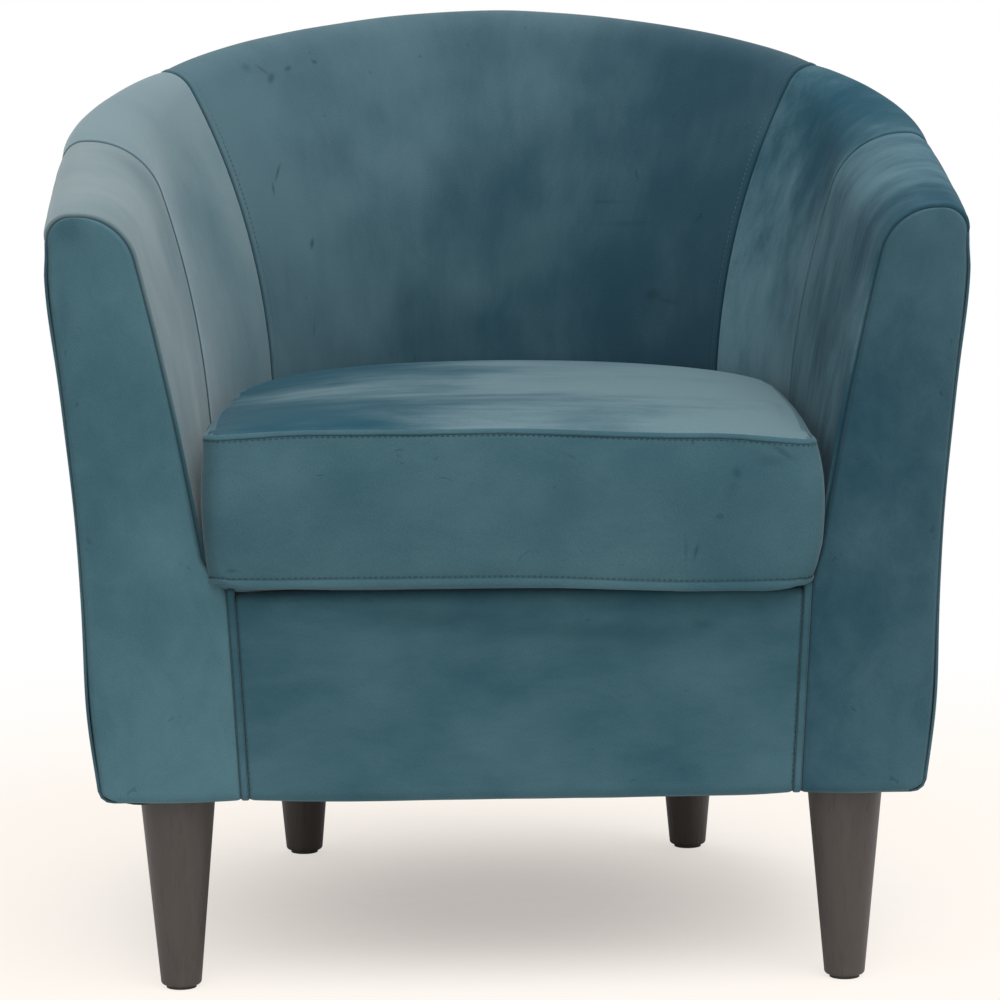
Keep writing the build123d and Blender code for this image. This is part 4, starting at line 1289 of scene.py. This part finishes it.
def seam_lip(cover, name, plan, level, half_width, half_height, tilt, shaded):
    """Rounded band of cloth along a seam on the cushion's cover, with one edge of its front in the shade."""
    mesh = cloth_grid(360, 12)
    along_band = Vector((-cos(tilt), sin(tilt)))
    off_band = Vector((sin(tilt), cos(tilt)))

    def place(across, up):
        point, out = plan.at(across)
        angle = 2 * pi * up
        in_front = past_arms(lip_depths, point.y)
        section = along_band * half_width * sin(angle) + off_band * half_height * cos(angle)
        slim = blend(lip_slimness, 1.0, in_front)
        uneven = noise.noise(Vector((point.x * lip_wave_rate, point.y * lip_wave_rate, level)))
        wave = slim + lip_wave * slim * uneven
        flat = point + out * (section.x * wave - lip_inset)
        middle = squeezed((point - out * lip_inset).to_3d() + Vector((0, 0, level)))
        moved = lie_on(cover, middle, lip_rise * slim * half_height)[0] - middle
        spot = squeezed(Vector((flat.x, flat.y, level + section.y * wave))) + moved
        return spot, (across, up), lip_shade * in_front * smooth(*lip_edge, shaded * sin(angle))

    lay_cloth(mesh, place, weld=True)
    bmesh.ops.recalc_face_normals(mesh, faces=mesh.faces)
    new_piece(name, mesh, boxing_velvet, "seat_cushion")


def plan_stitches(cover, plan, level):
    """Places of the stitches round the cushion's cover at a level."""
    count = int(2 * plan.half / stitch_pitch)
    spots = []
    for number in range(count):
        point = plan.at(number / count)[0]
        ahead = plan.at((number + 0.5) / count)[0]
        spot, facing = lie_on(cover, squeezed(Vector((point.x, point.y, level))), stitch_radius / 2)
        spots.append((spot, (ahead - point).to_3d(), facing))
    return spots


def seat_cushion():
    """Loose cushion: swollen cloth, a raised band along both seams and its stitches."""
    mesh = cushion_blank()
    replaced = ("cushion_core", "cushion_top_panel", "cushion_bottom_panel", "cushion_boxing")
    piece = new_piece("seat_cushion_cover", mesh, boxing_velvet, "seat_cushion", replaced)
    remesh = piece.modifiers.new("remesh", "REMESH")
    remesh.mode = "VOXEL"
    remesh.voxel_size = voxel
    even = evaluated_mesh(piece)
    piece.modifiers.remove(remesh)
    piece.data = even
    inflate(piece)
    dress_cushion(piece)
    finer = piece.modifiers.new("subdivision", "SUBSURF")
    finer.levels = 1
    finer.render_levels = 1
    cover = BVHTree.FromObject(piece, bpy.context.evaluated_depsgraph_get())
    # Name, plan, level, half width, half height, tilt, and which edge is in the shade
    lips = (
        ("cushion_top_lip", high_plan, high_seam + 0.0004, 0.0026, 0.0015, radians(58), -1),
        ("cushion_bottom_lip", low_plan, low_seam - 0.0042, 0.0044, 0.0018, radians(90), 1),
    )
    for lip in lips:
        seam_lip(cover, *lip)
    rows = plan_stitches(cover, high_plan, high_seam - top_row_drop)
    rows += plan_stitches(cover, low_plan, low_seam + bottom_row_rise)
    stitch_row("stitches_cushion", rows, "seat_cushion")


# Deck, dust cover and zip


def seat_shape(front, front_half, radius, aside, up):
    """Point of a flat sheet with a straight front and a half round back, from shares across and up."""
    straight = 0.5
    if up < straight:
        share = up / straight
        return Vector((aside * blend(front_half, radius, share), blend(front, back_centre, share)))
    angle = (up - straight) / (1 - straight) * pi / 2
    return Vector((aside * radius * cos(angle), back_centre + radius * sin(angle)))


def seat_deck():
    """Padded deck under the cushion, a little sunk between the arms."""
    low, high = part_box("deck_cloth")
    radius = high.y - back_centre
    mesh = cloth_grid(90, 90)

    def place(across, up):
        aside = across * 2 - 1
        point = seat_shape(deck_front, high.x, radius, aside, up)
        middle = Vector((point.x / high.x, (point.y - (low.y + high.y) / 2) / ((high.y - low.y) / 2)))
        sag = -deck_sag * (1 - smooth(*deck_sag_reach, middle.length))
        height = high.z + sag + ripple(point.x, point.y, deck_seed) - deck_drop
        return Vector((point.x, point.y, height)), point, 0.0

    lay_cloth(mesh, place, weld=True)
    material, replaced = slot_materials["deck_fabric"], ("deck_cloth", "deck_foam")
    piece = new_piece("seat_deck", mesh, material, "chair", replaced, deck_thickness)


def dust_sheet():
    """Thin black cloth under the frame, slack between its staples, with holes where the legs are fixed."""
    legs = [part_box(f"leg_{place}") for place in ("front_left", "front_right", "rear_left", "rear_right")]
    feet = [((low + high) / 2).to_2d() for low, high in legs]
    mesh = cloth_grid(120, 120)

    def place(across, up):
        aside = across * 2 - 1
        point = seat_shape(dust_front, dust_half_width, dust_half_width, aside, up)
        uneven = noise.noise(Vector((point.x * dust_slack_rate, point.y * dust_slack_rate, dust_seed)))
        slack = uneven * dust_slack
        edge = 1 - smooth(*dust_edge, max(abs(aside), abs(up * 2 - 1)))
        loose = dust_loose * bell(point.x + dust_half_width - loose_width, loose_width)
        loose *= bell(point.y - dust_front, loose_depth)
        height = dust_level + dust_edge_rise - dust_hang * edge + slack * edge - loose
        return Vector((point.x, point.y, height)), point, 0.0

    lay_cloth(mesh, place, weld=True)
    near_legs = []
    for face in mesh.faces:
        middle = face.calc_center_median().to_2d()
        if min((middle - foot).length for foot in feet) < leg_hole:
            near_legs.append(face)
    bmesh.ops.delete(mesh, geom=near_legs, context="FACES")
    bmesh.ops.reverse_faces(mesh, faces=mesh.faces)
    material = slot_materials["dust_fabric"]
    piece = new_piece("dust_sheet", mesh, material, "chair", ("dust_cover",), dust_thickness)


def zip_teeth():
    """Teeth along the zip's chain."""
    mesh = bmesh.new()
    for number in range(teeth):
        angle = blend(*zip_ends, number / (teeth - 1))
        out = polar(angle) * zip_radius
        level = zip_level + (tooth_offset if number % 2 else -tooth_offset)
        spot = Vector((out.x, back_centre + out.y, level))
        turn = Matrix.Translation(spot) @ Matrix.Rotation(angle, 4, "Z")
        made = bmesh.ops.create_cube(mesh, size=1.0, matrix=turn @ Matrix.Diagonal((*tooth_size, 1)))
        edges = list(dict.fromkeys(edge for vertex in made["verts"] for edge in vertex.link_edges))
        bmesh.ops.bevel(
            mesh, geom=edges, offset=tooth_round, segments=1, profile=0.5, affect="EDGES", material=-1
        )
    new_piece("zip_teeth", mesh, slot_materials["zip_nylon"], "seat_cushion")


def zip_pull():
    """Pull tab that hangs on the zip's slider."""
    low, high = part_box("zip_slider")
    middle = (low + high) / 2
    angle = atan2(middle.y - back_centre, middle.x)
    tab = bmesh.new()
    bmesh.ops.create_circle(tab, cap_ends=True, segments=24, radius=tab_radius)
    for vertex in tab.verts:
        if vertex.co.y > 0:
            vertex.co.y += tab_length
    bmesh.ops.inset_region(tab, faces=tab.faces, thickness=tab_rim)
    turned = Matrix.Rotation(angle + pi / 2, 4, "Z") @ Matrix.Rotation(pi / 2, 4, "X")
    distance = hypot(middle.x, middle.y - back_centre) + tab_gap
    place = Vector((0, back_centre, zip_level)) + polar(angle).to_3d() * distance
    bmesh.ops.transform(tab, verts=tab.verts, matrix=turned @ Matrix.Rotation(pi, 4, "Z"))
    bmesh.ops.translate(tab, verts=tab.verts, vec=place)
    bmesh.ops.recalc_face_normals(tab, faces=tab.faces)
    new_piece("zip_pull", tab, slot_materials["zip_metal"], "zip_slider", (), tab_rim)


# Studio


def floor_material():
    """Pale floor that keeps the shadow near the chair and gives way to the white room further off."""
    material, tree, shader = start_material("floor", Roughness=0.9, Specular_IOR_Level=0.1)
    place = object_place(tree)
    scuffs = noise_of(tree, place, 26.0, detail=6.0, roughness=0.7, distortion=0.4)
    toned = mix_colours(tree, spread_out(tree, scuffs, 0.35, 0.75), (0.90, 0.87, 0.84), (0.93, 0.905, 0.88))
    tree.links.new(toned, shader.inputs["Base Color"])
    away = vectors(tree, "LENGTH", place)
    glow = add(tree, "Emission", {"Color": (1.0, 0.94, 0.88), "Strength": 1.0}).outputs[0]
    brightness = spread_out(tree, away, 0.05, 0.5, to_low=0.44, to_high=0.90)
    seen = maths(tree, "MULTIPLY", add(tree, "LightPath").outputs["Is Camera Ray"], brightness)
    lifted = add(tree, "MixShader", {0: seen, 1: shader.outputs[0], 2: glow}).outputs[0]
    clear = add(tree, "BsdfTransparent").outputs[0]
    below = add(tree, "NewGeometry").outputs["Backfacing"]
    unseen = maths(tree, "MAXIMUM", spread_out(tree, away, 0.55, 1.3), below)
    faded = add(tree, "MixShader", {0: unseen, 1: lifted, 2: clear})
    tree.links.new(faded.outputs[0], tree.nodes["Material Output"].inputs["Surface"])
    return material


def room_light(left_strength, right_strength, colour):
    """White to the eye and in reflections, and a soft light on the chair that is stronger from the right."""
    world = bpy.data.worlds.new("room")
    scene.world = world
    world.use_nodes = True
    tree = world.node_tree
    tree.nodes.clear()
    path = add(tree, "LightPath").outputs
    seen = maths(tree, "MAXIMUM", path["Is Camera Ray"], path["Is Glossy Ray"])
    seen = maths(tree, "MAXIMUM", seen, path["Is Transmission Ray"])
    white = add(tree, "Background", {"Color": (1, 1, 1), "Strength": 1.0}).outputs[0]
    direction = add(tree, "TexCoord").outputs["Generated"]
    across = add(tree, "SeparateXYZ", {0: direction}).outputs["X"]
    level = spread_out(tree, across, -1.0, 1.0, left_strength, right_strength)
    soft = add(tree, "Background", {"Color": colour, "Strength": level}).outputs[0]
    both = add(tree, "MixShader", {0: seen, 1: soft, 2: white}).outputs[0]
    tree.links.new(both, add(tree, "OutputWorld").inputs["Surface"])


def lamp(name, place, strength, angle, colour=(1.0, 1.0, 1.0)):
    """Broad soft lamp that shines from a place towards the chair."""
    data = bpy.data.lights.new(name, "SUN")
    data.energy = strength
    data.angle = radians(angle)
    data.color = colour
    light = bpy.data.objects.new(name, data)
    light.rotation_euler = (-Vector(place)).to_track_quat("-Z", "Y").to_euler()
    scene.collection.objects.link(light)


def studio():
    mesh = bmesh.new()
    bmesh.ops.create_grid(mesh, x_segments=1, y_segments=1, size=2.5)
    data = bpy.data.meshes.new("floor")
    mesh.to_mesh(data)
    mesh.free()
    data.materials.append(floor_material())
    floor = bpy.data.objects.new("floor", data)
    scene.collection.objects.link(floor)
    room_light(0.48, 0.68, (1.0, 0.99, 0.98))
    lamp("key", (0.45, -1.05, 2.3), 2.5, 50)
    lamp("fill", (-0.5, -1.6, 0.6), 0.5, 60)


def camera():
    """Camera at the photograph's place: its position, aim and focal length in pixels of its frame."""
    position = Vector((-0.108179, -3.940587, 0.914804))
    yaw, pitch, roll = 0.0275747, 0.1429070, 0.0093141
    focal_pixels, frame_pixels = 4692.78, 1000.0
    forward = Vector((sin(yaw) * cos(pitch), cos(yaw) * cos(pitch), -sin(pitch)))
    right = Vector((cos(yaw), -sin(yaw), 0))
    down = forward.cross(right)
    rolled_right = cos(roll) * right + sin(roll) * down
    rolled_down = -sin(roll) * right + cos(roll) * down
    data = bpy.data.cameras.new("camera")
    data.lens = focal_pixels / frame_pixels * data.sensor_width
    eye = bpy.data.objects.new("camera", data)
    turn = Matrix((rolled_right, -rolled_down, -forward)).transposed().to_4x4()
    eye.matrix_world = Matrix.Translation(position) @ turn
    scene.collection.objects.link(eye)
    scene.camera = eye


finish_frame_nodes()
build_wall()
stitch_wall()
arm_front_panel(-1, "left", 51.0)
arm_front_panel(1, "right", 57.0)
front_border()
front_welts()
seat_cushion()
seat_deck()
dust_sheet()
zip_teeth()
zip_pull()
studio()
camera()
scene.view_settings.view_transform = "Standard"
